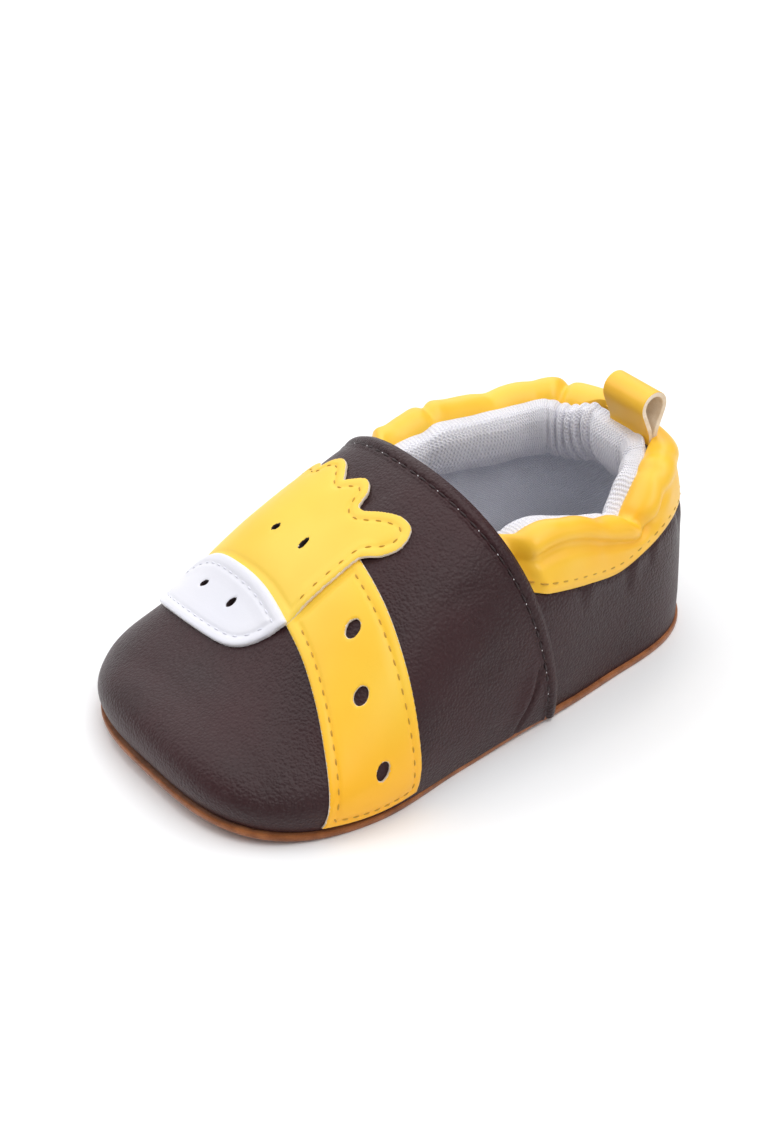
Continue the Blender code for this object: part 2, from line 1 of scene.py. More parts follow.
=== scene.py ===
# %% [markdown]
# # A baby's giraffe bootie
# The shoe is a soft slip-on: a suede sole, a brown leather vamp lapped over a brown quarter, a yellow elastic collar
# with a padded lining, and a flat giraffe sewn on the vamp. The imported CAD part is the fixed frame. Each visible
# piece is made here again as leather or cloth, on the same last, and stands for its solid.

# %% Load the frame
import math

import bpy
import numpy as np
from mathutils import Matrix, Vector


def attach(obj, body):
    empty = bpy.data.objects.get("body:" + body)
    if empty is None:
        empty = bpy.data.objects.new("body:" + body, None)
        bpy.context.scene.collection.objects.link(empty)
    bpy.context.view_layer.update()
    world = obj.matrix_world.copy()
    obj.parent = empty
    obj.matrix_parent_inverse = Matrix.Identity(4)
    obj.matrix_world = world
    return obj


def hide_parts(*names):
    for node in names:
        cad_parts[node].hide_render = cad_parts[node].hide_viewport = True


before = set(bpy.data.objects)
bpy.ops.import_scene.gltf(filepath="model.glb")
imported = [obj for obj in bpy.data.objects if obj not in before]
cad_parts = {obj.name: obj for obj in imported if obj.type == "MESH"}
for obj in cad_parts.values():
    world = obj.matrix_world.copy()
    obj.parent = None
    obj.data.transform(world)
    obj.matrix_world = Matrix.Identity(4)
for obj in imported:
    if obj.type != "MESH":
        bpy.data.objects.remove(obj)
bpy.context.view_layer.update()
print("nodes:", sorted(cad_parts))

# %% [markdown]
# ## The last
# A shoe is built round a last, a solid form of the foot. Everything below follows one last: half widths and a
# centre line for the sole, and a family of arches over it. The sizes are those of the CAD part, so that leather
# made on this last lies where the solids are.

# %% Sizes of the shoe, in metres
LENGTH = 0.120
BALL_WIDTH = 0.0690
INSTEP_HEIGHT = 0.0465
COLLAR_HEIGHT = 0.0410
SOLE_THICKNESS = 0.0015
SOLE_ROUNDING = 0.0006
TOE_SPRING = 0.0030
TOE_SPRING_LENGTH = 0.024
ARCH_LIFT = 0.0006
ARCH_PLACE = 0.55
ARCH_HALF = 0.13
INSOLE_THICKNESS = 0.0025
GAP = 0.0003
UPPER_WALL = 0.0018
VAMP_STEP = 0.0009
SOLE_RIM = 0.0010
BELLY = 0.0015
BELLY_HEIGHT = 0.0090
THROAT = 0.525
THROAT_FOOT = 0.605
THROAT_CURVE = 1.9
QUARTER_FRONT = 0.45
BAND_WALL = 0.0018
BAND_PROUD = 0.0004
BAND_ROLL = 0.0036
BAND_LIP = math.radians(145)
BAND_LIP_AT_LOOP = math.radians(90)
BAND_FRONT = 0.51
TUCK_LOW = 0.0017
TUCK_HIGH = 0.0038
TUCK_START = 0.570
TUCK_END = 0.600
PAD_THICKNESS = 0.0042
PAD_DEPTH = 0.0150
LOOP_WIDTH = 0.0115
LOOP_WALL = 0.0011
LOOP_HEIGHT = 0.0102
LOOP_DEPTH = 0.0066
LOOP_ROOT = 0.0016
LOOP_CENTRE = 0.0060
LOOP_SIDE_ROOM = 0.0025
LOOP_RAMP = 0.0090

# %% Tables of the last: each is read along the shoe, from 0 at the toe to 1 at the heel
PLAN_ALONG = (0.00, 0.15, 0.25, 0.40, 0.60, 0.80, 1.00)
PLAN_HALF = (0.935, 1.02, 1.00, 0.92, 0.865, 0.785, 0.76)
PLAN_CENTRE = (0.007, -0.043, -0.003, 0.017, 0.022, 0.017, 0.017)
TOE_ROUND_LENGTH = 0.30
TOE_SQUARENESS = 3.25
HEEL_ROUND_LENGTH = 0.23
HEEL_SQUARENESS = 2.7
CROWN_ALONG = (0.000, 0.030, 0.100, 0.210, 0.365, 0.505, 0.600, 0.800, 1.000)
CROWN_HEIGHT = (0.00, 0.24, 0.32, 0.47, 0.83, 1.01, 1.07, 1.30, 1.42)
BOX_ALONG = (0.00, 0.20, 0.50, 1.00)
BOX_SIDE = (2.30, 2.30, 2.30, 2.60)
BOX_TOP = (2.15, 2.45, 3.10, 3.40)
BELLY_SHARE = (1.00, 1.00, 0.90, 0.10)
RIM_SHARE = (1.00, 0.45, 0.10, -0.50)
COLLAR_ALONG = (0.45, 0.55, 0.62, 0.69, 0.76, 0.83, 0.90, 1.00)
SEAM_LEFT = (0.72, 0.735, 0.68, 0.63, 0.595, 0.63, 0.675, 0.69)
SEAM_RIGHT = (0.72, 0.735, 0.68, 0.63, 0.60, 0.63, 0.675, 0.69)
TOP_LEFT = (0.90, 0.965, 0.985, 0.930, 0.850, 0.860, 0.965, 0.970)
TOP_RIGHT = (0.90, 0.98, 1.01, 1.02, 1.01, 0.99, 0.98, 0.970)


# %% Curves through the tables
def smooth(table_x, table_y, x):
    """Smooth curve through a table's points, at the places x."""
    xs = np.asarray(table_x, float)
    ys = np.asarray(table_y, float)
    slopes = np.gradient(ys, xs)
    x = np.clip(np.asarray(x, float), xs[0], xs[-1])
    i = np.clip(np.searchsorted(xs, x, side="right") - 1, 0, len(xs) - 2)
    step = xs[i + 1] - xs[i]
    t = (x - xs[i]) / step
    rise = ys[i + 1] - ys[i]
    start = slopes[i] * step
    end = slopes[i + 1] * step
    return ys[i] + t * (start + t * (3 * rise - 2 * start - end + t * (start + end - 2 * rise)))


def ease(x):
    """0 below 0, 1 above 1 and a smooth ramp between."""
    x = np.clip(x, 0.0, 1.0)
    return x * x * (3 - 2 * x)


def hump(x, width):
    """Soft ridge of height 1 at x = 0."""
    return np.exp(-((np.asarray(x) / width) ** 2))


def unit(vectors):
    return vectors / np.maximum(np.linalg.norm(vectors, axis=-1, keepdims=True), 1e-12)


def lengths_along(points):
    """Length along a line of points, from its start to each point."""
    steps = np.linalg.norm(np.diff(points, axis=0), axis=1)
    return np.concatenate([[0.0], np.cumsum(steps)])


def read_columns(places, runs, table):
    """Every column of a table at the places, between its rows' runs."""
    return np.stack([np.interp(places, runs, column) for column in table.T], axis=-1)


# %% The sole's plan
def rounding(share, squareness):
    inside = 1 - (1 - np.clip(share, 0.0, 1.0)) ** squareness
    return np.maximum(inside, 0.0) ** (1 / squareness)


def straight_half(along):
    return smooth(PLAN_ALONG, PLAN_HALF, along) * BALL_WIDTH / 2


def half_width(along):
    toe = rounding(along / TOE_ROUND_LENGTH, TOE_SQUARENESS)
    heel = rounding((1 - along) / HEEL_ROUND_LENGTH, HEEL_SQUARENESS)
    return straight_half(along) * toe * heel


def centre_line(along):
    return smooth(PLAN_ALONG, PLAN_CENTRE, along) * BALL_WIDTH / 2


def along_to_y(along):
    return (along - 0.5) * LENGTH


def sole_edges(along):
    """Points of the sole's left and right edge."""
    y = along_to_y(along)
    left = np.stack([centre_line(along) + half_width(along), y], axis=-1)
    right = np.stack([centre_line(along) - half_width(along), y], axis=-1)
    return left, right


def ground(along):
    """Underside of the sole, with its toe spring and its slight arch."""
    toe = np.clip(1 - along * LENGTH / TOE_SPRING_LENGTH, 0.0, None)
    arch = np.clip(1 - ((along - ARCH_PLACE) / ARCH_HALF) ** 2, 0.0, None)
    return TOE_SPRING * toe**2 + ARCH_LIFT * arch**2


# %% The arches over the sole
def floor(along):
    return ground(along) + SOLE_THICKNESS + GAP


def crown(along):
    share = smooth(np.sqrt(CROWN_ALONG), CROWN_HEIGHT, np.sqrt(along))
    return floor(along) + share * (INSTEP_HEIGHT - SOLE_THICKNESS - GAP)


def belly(along, height):
    most = BELLY * smooth(BOX_ALONG, BELLY_SHARE, along)
    rim = SOLE_RIM * smooth(BOX_ALONG, RIM_SHARE, along)
    rise = 1 - np.clip(height / BELLY_HEIGHT, 0.0, 1.0)
    return most - (most + rim) * rise**2


def arch_point(along, turn):
    """Point of the plain arch across the shoe, from its left foot at turn 0 to its right foot at turn pi."""
    side = smooth(BOX_ALONG, BOX_SIDE, along)
    top = smooth(BOX_ALONG, BOX_TOP, along)
    cosine = np.cos(turn)
    sine = np.maximum(np.sin(turn), 0.0)
    x = centre_line(along) + half_width(along) * np.sign(cosine) * np.abs(cosine) ** (2 / side)
    z = floor(along) + (crown(along) - floor(along)) * sine ** (2 / top)
    return np.stack([x, along_to_y(along), z], axis=-1)


def arch_normal(along, turn):
    step = 1e-4
    near = np.maximum(along, 4 * step)
    turn_low = np.clip(turn - step, step, math.pi - step)
    turn_high = np.clip(turn + step, 2 * step, math.pi)
    lengthwise = arch_point(near + step, turn) - arch_point(near - step, turn)
    crosswise = arch_point(near, turn_high) - arch_point(near, turn_low)
    normal = unit(np.cross(lengthwise, crosswise))
    forward = np.array([0.0, -1.0, 0.0])
    return np.where((along < step)[..., None], forward, normal)


def skin(along, turn, out):
    """Point at the distance out from the upper's surface, over the toe, the vamp and the sides."""
    along, turn, out = np.broadcast_arrays(along, turn, out)
    along = along.astype(float)
    point = arch_point(along, turn)
    normal = arch_normal(along, turn)
    sideways = normal * np.array([1.0, 1.0, 0.0])
    height = point[..., 2] - floor(along)
    return point + normal * out[..., None] + sideways * belly(along, height)[..., None]


def throat(turn):
    """Share of the length at which the vamp's rear edge crosses an arch."""
    across = np.abs(np.asarray(turn) / (math.pi / 2) - 1)
    return THROAT + (THROAT_FOOT - THROAT) * across**THROAT_CURVE


def even_turns(count):
    """Turns whose points are evenly spaced over the arch at the throat."""
    turns = np.linspace(0.0, math.pi, 1441)
    points = arch_point(np.full_like(turns, THROAT), turns)
    length = lengths_along(points)
    return np.interp(np.linspace(0.0, length[-1], count + 1), length, turns)


print("sole width at the ball, mm:", round(2000 * float(half_width(PLAN_ALONG[2])), 1))
print("height at the throat, mm:", round(1000 * float(crown(THROAT)), 1))


# %% The wall round the heel
OUTLINE_SAMPLES = 400
CORNER_SHARE = 0.10


def outline(front):
    """Edge of the sole behind a share of the length: places along, points and outward directions, by run 0 to 1."""
    t = np.linspace(math.acos(1 - 2 * front), math.pi, OUTLINE_SAMPLES)
    along = (1 - np.cos(t)) / 2
    left, right = sole_edges(along)
    points = np.concatenate([left, right[-2::-1]])
    along = np.concatenate([along, along[-2::-1]])
    run = lengths_along(points)
    tangent = np.gradient(points, run, axis=0)
    run /= run[-1]
    evenly = np.linspace(0.0, 1.0, OUTLINE_SAMPLES)
    half = int(CORNER_SHARE * OUTLINE_SAMPLES / 2)
    window = np.ones(2 * half + 1) / (2 * half + 1)
    padded = [np.pad(column, half, "edge") for column in read_columns(evenly, run, tangent).T]
    spread = np.stack([np.convolve(each, window, "valid") for each in padded], axis=-1)
    tangent = unit(read_columns(run, evenly, spread))
    return run, along, points, np.stack([tangent[:, 1], -tangent[:, 0]], axis=-1)


def on_outline(front, run):
    """Place along, point and outward direction at a run around the heel, 0 on the left and 1 on the right."""
    runs, alongs, points, outward = outline(front)
    along = np.interp(run, runs, alongs)
    base = read_columns(run, runs, points)
    direction = unit(read_columns(run, runs, outward))
    return along, base, direction


def wall(front, run, z, out):
    """Point at a height on the side or heel wall, at the distance out from it."""
    run, z, out = np.broadcast_arrays(run, z, out)
    along, base, direction = on_outline(front, run)
    side = smooth(BOX_ALONG, BOX_SIDE, along)
    top = smooth(BOX_ALONG, BOX_TOP, along)
    height = z - floor(along)
    share = np.clip(height / (crown(along) - floor(along)), 0.0, 1.0)
    lean = straight_half(along) * (1 - (1 - share**top) ** (1 / side))
    reach = out + belly(along, height) - lean
    return np.concatenate([base + direction * reach[..., None], z[..., None]], axis=-1)


def collar_heights(front, run):
    """Heights of the collar's lower seam and of its top, around the heel."""
    along = on_outline(front, run)[0]
    left = np.asarray(run) < 0.5
    seam = np.where(left, smooth(COLLAR_ALONG, SEAM_LEFT, along), smooth(COLLAR_ALONG, SEAM_RIGHT, along))
    top = np.where(left, smooth(COLLAR_ALONG, TOP_LEFT, along), smooth(COLLAR_ALONG, TOP_RIGHT, along))
    return seam * COLLAR_HEIGHT, top * COLLAR_HEIGHT


# %% [markdown]
# ## Making a sheet on the last
# Leather is cut flat and pulled over the last. Here a plain grid is added as a primitive, its points are set on the
# last by rows, and a relief is added along the surface's own normals. Relief is what turns an exact surface into
# leather: a folded hem, a stitch line that pulls the surface down, a pucker. Solidify then gives the real thickness.

# %% Helpers for pieces
def only(piece):
    """Selects one object alone and makes it active."""
    bpy.ops.object.select_all(action="DESELECT")
    piece.select_set(True)
    bpy.context.view_layer.objects.active = piece


def surface_normals(points):
    """Normals of a grid of points, across its columns and then its rows."""
    across = np.gradient(points, axis=1)
    along = np.gradient(points, axis=0)
    return unit(np.cross(across, along))


def grid_piece(name, points, materials, relief=None, flip=False):
    """Mesh grid whose rows and columns are set on an array of points, raised by a relief along its normals."""
    rows, columns = points.shape[:2]
    normals = surface_normals(points) * (-1 if flip else 1)
    if relief is not None:
        points = points + normals * relief[..., None]
    bpy.ops.object.select_all(action="DESELECT")
    bpy.ops.mesh.primitive_grid_add(x_subdivisions=columns - 1, y_subdivisions=rows - 1, size=1, calc_uvs=True)
    piece = bpy.context.object
    piece.name = name
    piece.data.name = name
    for each in materials:
        piece.data.materials.append(each)
    piece.data.vertices.foreach_set("co", points.reshape(-1))
    piece.data.update()
    bpy.ops.object.mode_set(mode="EDIT")
    bpy.ops.mesh.select_all(action="SELECT")
    if flip:
        bpy.ops.mesh.flip_normals()
    bpy.ops.mesh.remove_doubles(threshold=1e-6)
    bpy.ops.object.mode_set(mode="OBJECT")
    return piece


def apply_modifiers(piece):
    only(piece)
    for modifier in list(piece.modifiers):
        bpy.ops.object.modifier_apply(modifier=modifier.name)


EDGE_ROUNDING = 0.0003
SHARP_ANGLE = math.radians(50)


def thicken(piece, wall_thickness, edge=0.0, inner_slot=0, rim_slot=0, offset=-1.0):
    """Real thickness behind the sheet, with a rounded cut edge."""
    solid = piece.modifiers.new("thickness", "SOLIDIFY")
    solid.thickness = wall_thickness
    solid.offset = offset
    solid.material_offset = inner_slot
    solid.material_offset_rim = rim_slot
    if edge:
        bevel = piece.modifiers.new("edge", "BEVEL")
        bevel.width = edge
        bevel.segments = 3
        bevel.limit_method = "ANGLE"
        bevel.angle_limit = SHARP_ANGLE
    apply_modifiers(piece)


def finish_piece(piece, node=None):
    """Smooth shading, its CAD node and the body it rides on."""
    piece.data.shade_smooth()
    only(piece)
    bpy.ops.object.shade_smooth_by_angle(angle=SHARP_ANGLE)
    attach(piece, "root")
    if node:
        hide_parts(node)
    print(piece.name, len(piece.data.polygons), "faces")
    return piece


# %% [markdown]
# ## Colours and a helper for shader nodes
# Colours are written as hex values from a lit photograph, and turned to linear light.

# %% Helpers for materials
def linear(colour):
    """Linear red, green, blue and alpha from an sRGB hex colour."""
    channels = [int(colour[i : i + 2], 16) / 255 for i in (1, 3, 5)]
    return (*[c / 12.92 if c <= 0.04045 else ((c + 0.055) / 1.055) ** 2.4 for c in channels], 1.0)


def add_node(material, kind, settings, links=None):
    """Adds a shader node, sets its properties, input values or colour stops, and links its inputs."""
    made = material.node_tree.nodes.new(kind)
    for name, value in settings.items():
        if name == "stops":
            for stop, (position, colour) in zip(made.color_ramp.elements, value):
                stop.position = position
                stop.color = linear(colour)
        elif isinstance(name, int) or name in made.inputs:
            made.inputs[name].default_value = value
        else:
            setattr(made, name, value)
    for name, source in (links or {}).items():
        material.node_tree.links.new(source, made.inputs[name])
    return made


def new_material(name, roughness, settings):
    """Empty material, its Principled BSDF and the coordinates that its patterns read."""
    material = bpy.data.materials.new(name)
    material.use_nodes = True
    shader = material.node_tree.nodes["Principled BSDF"]
    shader.inputs["Roughness"].default_value = roughness
    for socket, value in settings.items():
        shader.inputs[socket].default_value = value
    return material, shader, add_node(material, "ShaderNodeTexCoord", {})


def link(material, source, target):
    material.node_tree.links.new(source, target)


# %% [markdown]
# ## Brown leather
# Coated split leather with a printed pebble grain. The coat gives the eye a soft broad highlight, and the print gives
# pebbles a little over half a millimetre wide, with finer creases between them. The pebbles are cells of a Voronoi
# texture bent by noise, read as height only, so they show in the highlight and hardly elsewhere.

# %% Brown grained leather
PEBBLE = 0.00058
PEBBLE_HEIGHT = 0.00021


def brown_leather():
    coat = {"Coat Weight": 0.15, "Coat Roughness": 0.40, "IOR": 1.5, "Specular IOR Level": 0.30}
    material, shader, place = new_material("brown_grained_leather", 0.46, coat)
    spot = place.outputs["Object"]
    bend = add_node(material, "ShaderNodeTexNoise", {"Scale": 0.7 / PEBBLE, "Detail": 2.0}, {"Vector": spot})
    bent = add_node(
        material, "ShaderNodeVectorMath", {"operation": "MULTIPLY_ADD", 1: (PEBBLE * 0.9,) * 3},
        {0: bend.outputs["Color"], 2: spot},
    )
    cells = add_node(
        material, "ShaderNodeTexVoronoi", {"feature": "SMOOTH_F1", "Scale": 1 / PEBBLE, "Smoothness": 0.35},
        {"Vector": bent.outputs["Vector"]},
    )
    fine = add_node(material, "ShaderNodeTexNoise", {"Scale": 2.6 / PEBBLE, "Detail": 3.0}, {"Vector": spot})
    height = add_node(
        material, "ShaderNodeMath", {"operation": "MULTIPLY_ADD", 1: 0.30},
        {0: fine.outputs["Fac"], 2: cells.outputs["Distance"]},
    )
    bump = add_node(
        material, "ShaderNodeBump", {"Strength": 1.0, "Distance": PEBBLE_HEIGHT, "invert": True},
        {"Height": height.outputs[0]},
    )
    link(material, bump.outputs["Normal"], shader.inputs["Normal"])
    patches = add_node(material, "ShaderNodeTexNoise", {"Scale": 60.0, "Detail": 3.0}, {"Vector": spot})
    stops = {"stops": ((0.30, "#2a1012"), (0.72, "#361619"))}
    tone = add_node(material, "ShaderNodeValToRGB", stops, {"Fac": patches.outputs["Fac"]})
    link(material, tone.outputs["Color"], shader.inputs["Base Color"])
    gloss = add_node(
        material, "ShaderNodeMapRange", {"From Min": 0.3, "From Max": 0.7, "To Min": 0.40, "To Max": 0.50},
        {"Value": patches.outputs["Fac"]},
    )
    link(material, gloss.outputs["Result"], shader.inputs["Roughness"])
    return material


BROWN = brown_leather()
print(BROWN.name)

# %% [markdown]
# ## Smooth leathers
# The yellow and the white are the same coated leather with almost no print: a very fine grain shows only in the
# highlight, so the eye reads a smooth, slightly rubbery skin. Its colour drifts a little from place to place.

# %% Yellow and white smooth leather
FINE_GRAIN = 0.00045
FINE_GRAIN_HEIGHT = 0.00003


def smooth_leather(name, light, deep, roughness):
    material, shader, place = new_material(name, roughness, {"Coat Weight": 0.12, "Coat Roughness": 0.30, "IOR": 1.5})
    spot = place.outputs["Object"]
    fine = add_node(material, "ShaderNodeTexNoise", {"Scale": 1 / FINE_GRAIN, "Detail": 4.0}, {"Vector": spot})
    bump = add_node(
        material, "ShaderNodeBump", {"Strength": 0.5, "Distance": FINE_GRAIN_HEIGHT}, {"Height": fine.outputs["Fac"]}
    )
    link(material, bump.outputs["Normal"], shader.inputs["Normal"])
    drift = add_node(material, "ShaderNodeTexNoise", {"Scale": 55.0, "Detail": 2.0}, {"Vector": spot})
    stops = {"stops": ((0.30, deep), (0.70, light))}
    tone = add_node(material, "ShaderNodeValToRGB", stops, {"Fac": drift.outputs["Fac"]})
    link(material, tone.outputs["Color"], shader.inputs["Base Color"])
    return material


def paint_shade_low_down(material, deep, low, high):
    """Painted shade: a warmer, deeper colour towards the foot of a piece, between two heights, standing for the shade
    low down on the neck.
    """
    shader = material.node_tree.nodes["Principled BSDF"]
    own = shader.inputs["Base Color"].links[0].from_socket
    place = add_node(material, "ShaderNodeTexCoord", {})
    apart = add_node(material, "ShaderNodeSeparateXYZ", {}, {"Vector": place.outputs["Object"]})
    share = add_node(
        material, "ShaderNodeMapRange", {"From Min": low, "From Max": high, "interpolation_type": "SMOOTHSTEP"},
        {"Value": apart.outputs["Z"]},
    )
    mixed = add_node(
        material, "ShaderNodeMix", {"data_type": "RGBA", 6: linear(deep)}, {0: share.outputs["Result"], 7: own}
    )
    link(material, mixed.outputs[2], shader.inputs["Base Color"])


YELLOW = smooth_leather("yellow_smooth_leather", "#fbcb3c", "#f9bd28", 0.42)
GIRAFFE_YELLOW = smooth_leather("giraffe_yellow_leather", "#f6d04a", "#f4c436", 0.50)
NECK_YELLOW_AND_PAINTED_SHADE = smooth_leather("giraffe_neck_leather_and_painted_shade", "#f9cd3c", "#f8c22a", 0.48)
# Painted shade: the neck's colour deepens to orange towards its foot
paint_shade_low_down(NECK_YELLOW_AND_PAINTED_SHADE, "#ffb810", 0.004, 0.030)
WHITE_LEATHER = smooth_leather("white_smooth_leather", "#e6e5eb", "#dfdfe7", 0.46)
print(YELLOW.name, GIRAFFE_YELLOW.name, NECK_YELLOW_AND_PAINTED_SHADE.name, WHITE_LEATHER.name)

# %% [markdown]
# ## Cut edges, suede, cloth and thread
# A cut edge shows the leather's fibres, undyed and matt. Suede is the napped side of a split: short fibres that
# scatter light at a grazing angle, which is sheen, so its edge looks soft. The lining is a knitted rib and the inside
# a plain weave, both matt and read along each piece's own UV map, because cloth follows the piece and not the room.

# %% Cut edge and suede
def fibrous(name, light, deep, fibre, bump_height, sheen):
    nap_light = {"Sheen Weight": sheen, "Sheen Roughness": 0.5, "Specular IOR Level": 0.2}
    material, shader, place = new_material(name, 0.92, nap_light)
    spot = place.outputs["Object"]
    nap = add_node(
        material, "ShaderNodeTexNoise", {"Scale": 1 / fibre, "Detail": 6.0, "Roughness": 0.65}, {"Vector": spot}
    )
    bump = add_node(
        material, "ShaderNodeBump", {"Strength": 0.8, "Distance": bump_height}, {"Height": nap.outputs["Fac"]}
    )
    link(material, bump.outputs["Normal"], shader.inputs["Normal"])
    patches = add_node(material, "ShaderNodeTexNoise", {"Scale": 0.08 / fibre, "Detail": 4.0}, {"Vector": spot})
    mixed = add_node(
        material, "ShaderNodeMath", {"operation": "MULTIPLY_ADD", 1: 0.5},
        {0: nap.outputs["Fac"], 2: patches.outputs["Fac"]},
    )
    stops = {"stops": ((0.55, deep), (0.95, light))}
    tone = add_node(material, "ShaderNodeValToRGB", stops, {"Fac": mixed.outputs[0]})
    link(material, tone.outputs["Color"], shader.inputs["Base Color"])
    return material


CUT_EDGE = fibrous("cream_cut_edge", "#f3e6d2", "#dcc6a8", 0.00025, 0.00006, 0.2)
WHITE_EDGE = fibrous("white_cut_edge", "#f2f0f0", "#dcdade", 0.00025, 0.00006, 0.2)
SUEDE = fibrous("tan_suede", "#a9673a", "#7f4823", 0.00022, 0.00012, 0.35)
print(CUT_EDGE.name, WHITE_EDGE.name, SUEDE.name)


# %% Knitted and woven cloth
def cloth(name, light, deep, across, along, spacing, bump_height, rib=0.0):
    """Cloth read on a UV map that covers across by along metres, with a thread every spacing metres."""
    fuzzy = {"Sheen Weight": 0.25, "Sheen Roughness": 0.5, "Specular IOR Level": 0.25}
    material, shader, place = new_material(name, 0.90, fuzzy)
    sized = add_node(
        material, "ShaderNodeMapping", {"Scale": (across / spacing, along / spacing, 1.0)},
        {"Vector": place.outputs["UV"]},
    )
    spot = sized.outputs["Vector"]
    wobble = add_node(material, "ShaderNodeTexNoise", {"Scale": 0.35, "Detail": 2.0}, {"Vector": spot})
    bent = add_node(
        material, "ShaderNodeVectorMath", {"operation": "MULTIPLY_ADD", 1: (0.9, 0.9, 0.0)},
        {0: wobble.outputs["Color"], 2: spot},
    )
    apart = add_node(material, "ShaderNodeSeparateXYZ", {}, {"Vector": bent.outputs["Vector"]})
    waves = []
    for axis in ("X", "Y"):
        turn = add_node(material, "ShaderNodeMath", {"operation": "MULTIPLY", 1: math.tau}, {0: apart.outputs[axis]})
        waves.append(add_node(material, "ShaderNodeMath", {"operation": "SINE"}, {0: turn.outputs[0]}).outputs[0])
    weave = add_node(material, "ShaderNodeMath", {"operation": "MULTIPLY"}, {0: waves[0], 1: waves[1]})
    ribs = add_node(
        material, "ShaderNodeMath", {"operation": "MULTIPLY_ADD", 1: rib}, {0: waves[0], 2: weave.outputs[0]}
    )
    fuzz = add_node(material, "ShaderNodeTexNoise", {"Scale": 1.3, "Detail": 5.0}, {"Vector": spot})
    height = add_node(
        material, "ShaderNodeMath", {"operation": "MULTIPLY_ADD", 1: 1.6},
        {0: fuzz.outputs["Fac"], 2: ribs.outputs[0]},
    )
    bump = add_node(
        material, "ShaderNodeBump", {"Strength": 0.6, "Distance": bump_height}, {"Height": height.outputs[0]}
    )
    link(material, bump.outputs["Normal"], shader.inputs["Normal"])
    # Painted shade: the colour follows the height of the ribs and weave, deeper in the grooves between threads, with
    # random fuzz mixed in
    tone = add_node(
        material, "ShaderNodeMapRange", {"From Min": -0.6, "From Max": 2.2}, {"Value": height.outputs[0]}
    )
    mixed = add_node(
        material, "ShaderNodeMix", {"data_type": "RGBA", 6: linear(deep), 7: linear(light)},
        {0: tone.outputs["Result"]},
    )
    link(material, mixed.outputs[2], shader.inputs["Base Color"])
    return material


# Real threads lie about half as far apart: both spacings are drawn coarser, so that they show in the render
RIB_KNIT = cloth("white_rib_knit", "#fbfafd", "#e2e0ea", 0.150, 0.045, 0.0009, 0.00022, rib=0.8)
INSIDE_CLOTH = cloth("white_plain_weave_grey_blue_groove_shade", "#fafafd", "#ced0de", 0.180, 0.036, 0.0008, 0.00020)
print(RIB_KNIT.name, INSIDE_CLOTH.name)

# %% Thread
TWIST = 0.00025


def thread(name, light, deep):
    """Twisted sewing thread: matt, with a light and dark fleck at each turn of its twist."""
    material, shader, place = new_material(name, 0.62, {"Sheen Weight": 0.2, "Sheen Roughness": 0.4})
    spot = place.outputs["Object"]
    twist = add_node(material, "ShaderNodeTexNoise", {"Scale": 1 / TWIST, "Detail": 2.0}, {"Vector": spot})
    tone = add_node(
        material, "ShaderNodeMix", {"data_type": "RGBA", 6: linear(deep), 7: linear(light)}, {0: twist.outputs["Fac"]}
    )
    link(material, tone.outputs[2], shader.inputs["Base Color"])
    return material


GOLD_THREAD = thread("golden_thread", "#d9a52c", "#a87a18")
WHITE_THREAD = thread("white_thread", "#e9e9f0", "#d2d2dd")
# The brown thread also stands for the shadowed wall of the eyes and nostrils
BROWN_THREAD_AND_HOLE_SHADE = thread("dark_brown_thread_and_hole_shade", "#3a2526", "#1d1112")
print(GOLD_THREAD.name, WHITE_THREAD.name, BROWN_THREAD_AND_HOLE_SHADE.name)

# %% [markdown]
# ## The vamp
# The vamp covers the toe and the instep. It is one piece of leather, stretched smooth at the toe. Its rear edge is
# folded over into a hem about 3 mm wide and sewn down, so the hem stands a little proud and the stitch line sinks
# in. Rows of the grid run from the tip of the toe to the hem.

# %% Vamp
HEM = 0.0034
HEM_PROUD = 0.00035
HEM_STITCH = 0.0024
HEM_PITCH = 0.0028
# The hem leans back over the instep, so a step along the shoe measures a little less over the leather
HEM_LEAN = 0.96
VAMP_WALL = 0.0016
FOOT_FADE = 0.006


def arc_lengths(points):
    """Length over the leather along each row, measured from its middle and positive to the wearer's left."""
    steps = np.linalg.norm(np.diff(points, axis=1), axis=2)
    length = np.concatenate([np.zeros((len(points), 1)), np.cumsum(steps, axis=1)], axis=1)
    return length[:, length.shape[1] // 2][:, None] - length


def crease(across, y, ends, width, depth):
    """Soft trough, or a ridge where depth is negative, along a line between two places on the leather."""
    (x0, y0), (x1, y1) = ends
    span = np.array([x1 - x0, y1 - y0])
    reach = np.clip(((across - x0) * span[0] + (y - y0) * span[1]) / (span @ span), 0.0, 1.0)
    away = np.hypot(across - x0 - reach * span[0], y - y0 - reach * span[1])
    fade = 0.35 + 0.65 * np.sin(math.pi * np.clip(reach, 0.02, 0.98))
    return -depth * fade * hump(away, width)


# Creases on the vamp: (across, along) in metres over the leather at both ends, width and depth
VAMP_CREASES = (
    (((0.0525, 0.0678), (0.0600, 0.0645)), 0.0008, 0.0011),
    (((0.0560, 0.0664), (0.0625, 0.0624)), 0.0008, 0.0011),
    (((0.0520, 0.0660), (0.0600, 0.0622)), 0.0018, -0.0007),
    (((0.0020, 0.0560), (-0.0010, 0.0490)), 0.0012, 0.00020),
    (((0.0090, 0.0570), (0.0080, 0.0505)), 0.0010, 0.00016),
    (((0.0300, 0.0590), (0.0270, 0.0500)), 0.0018, 0.00018),
    (((-0.0200, 0.0570), (-0.0210, 0.0500)), 0.0014, 0.00018),
    (((-0.0420, 0.0640), (-0.0400, 0.0560)), 0.0016, 0.00022),
    (((0.0440, 0.0600), (0.0410, 0.0500)), 0.0022, 0.00025),
)


def foot_drop(along):
    """How far the leather's foot comes down over the sole's edge: nothing at the toe, where the rim shows."""
    return 0.0011 * ease((np.asarray(along) - 0.16) / 0.22)


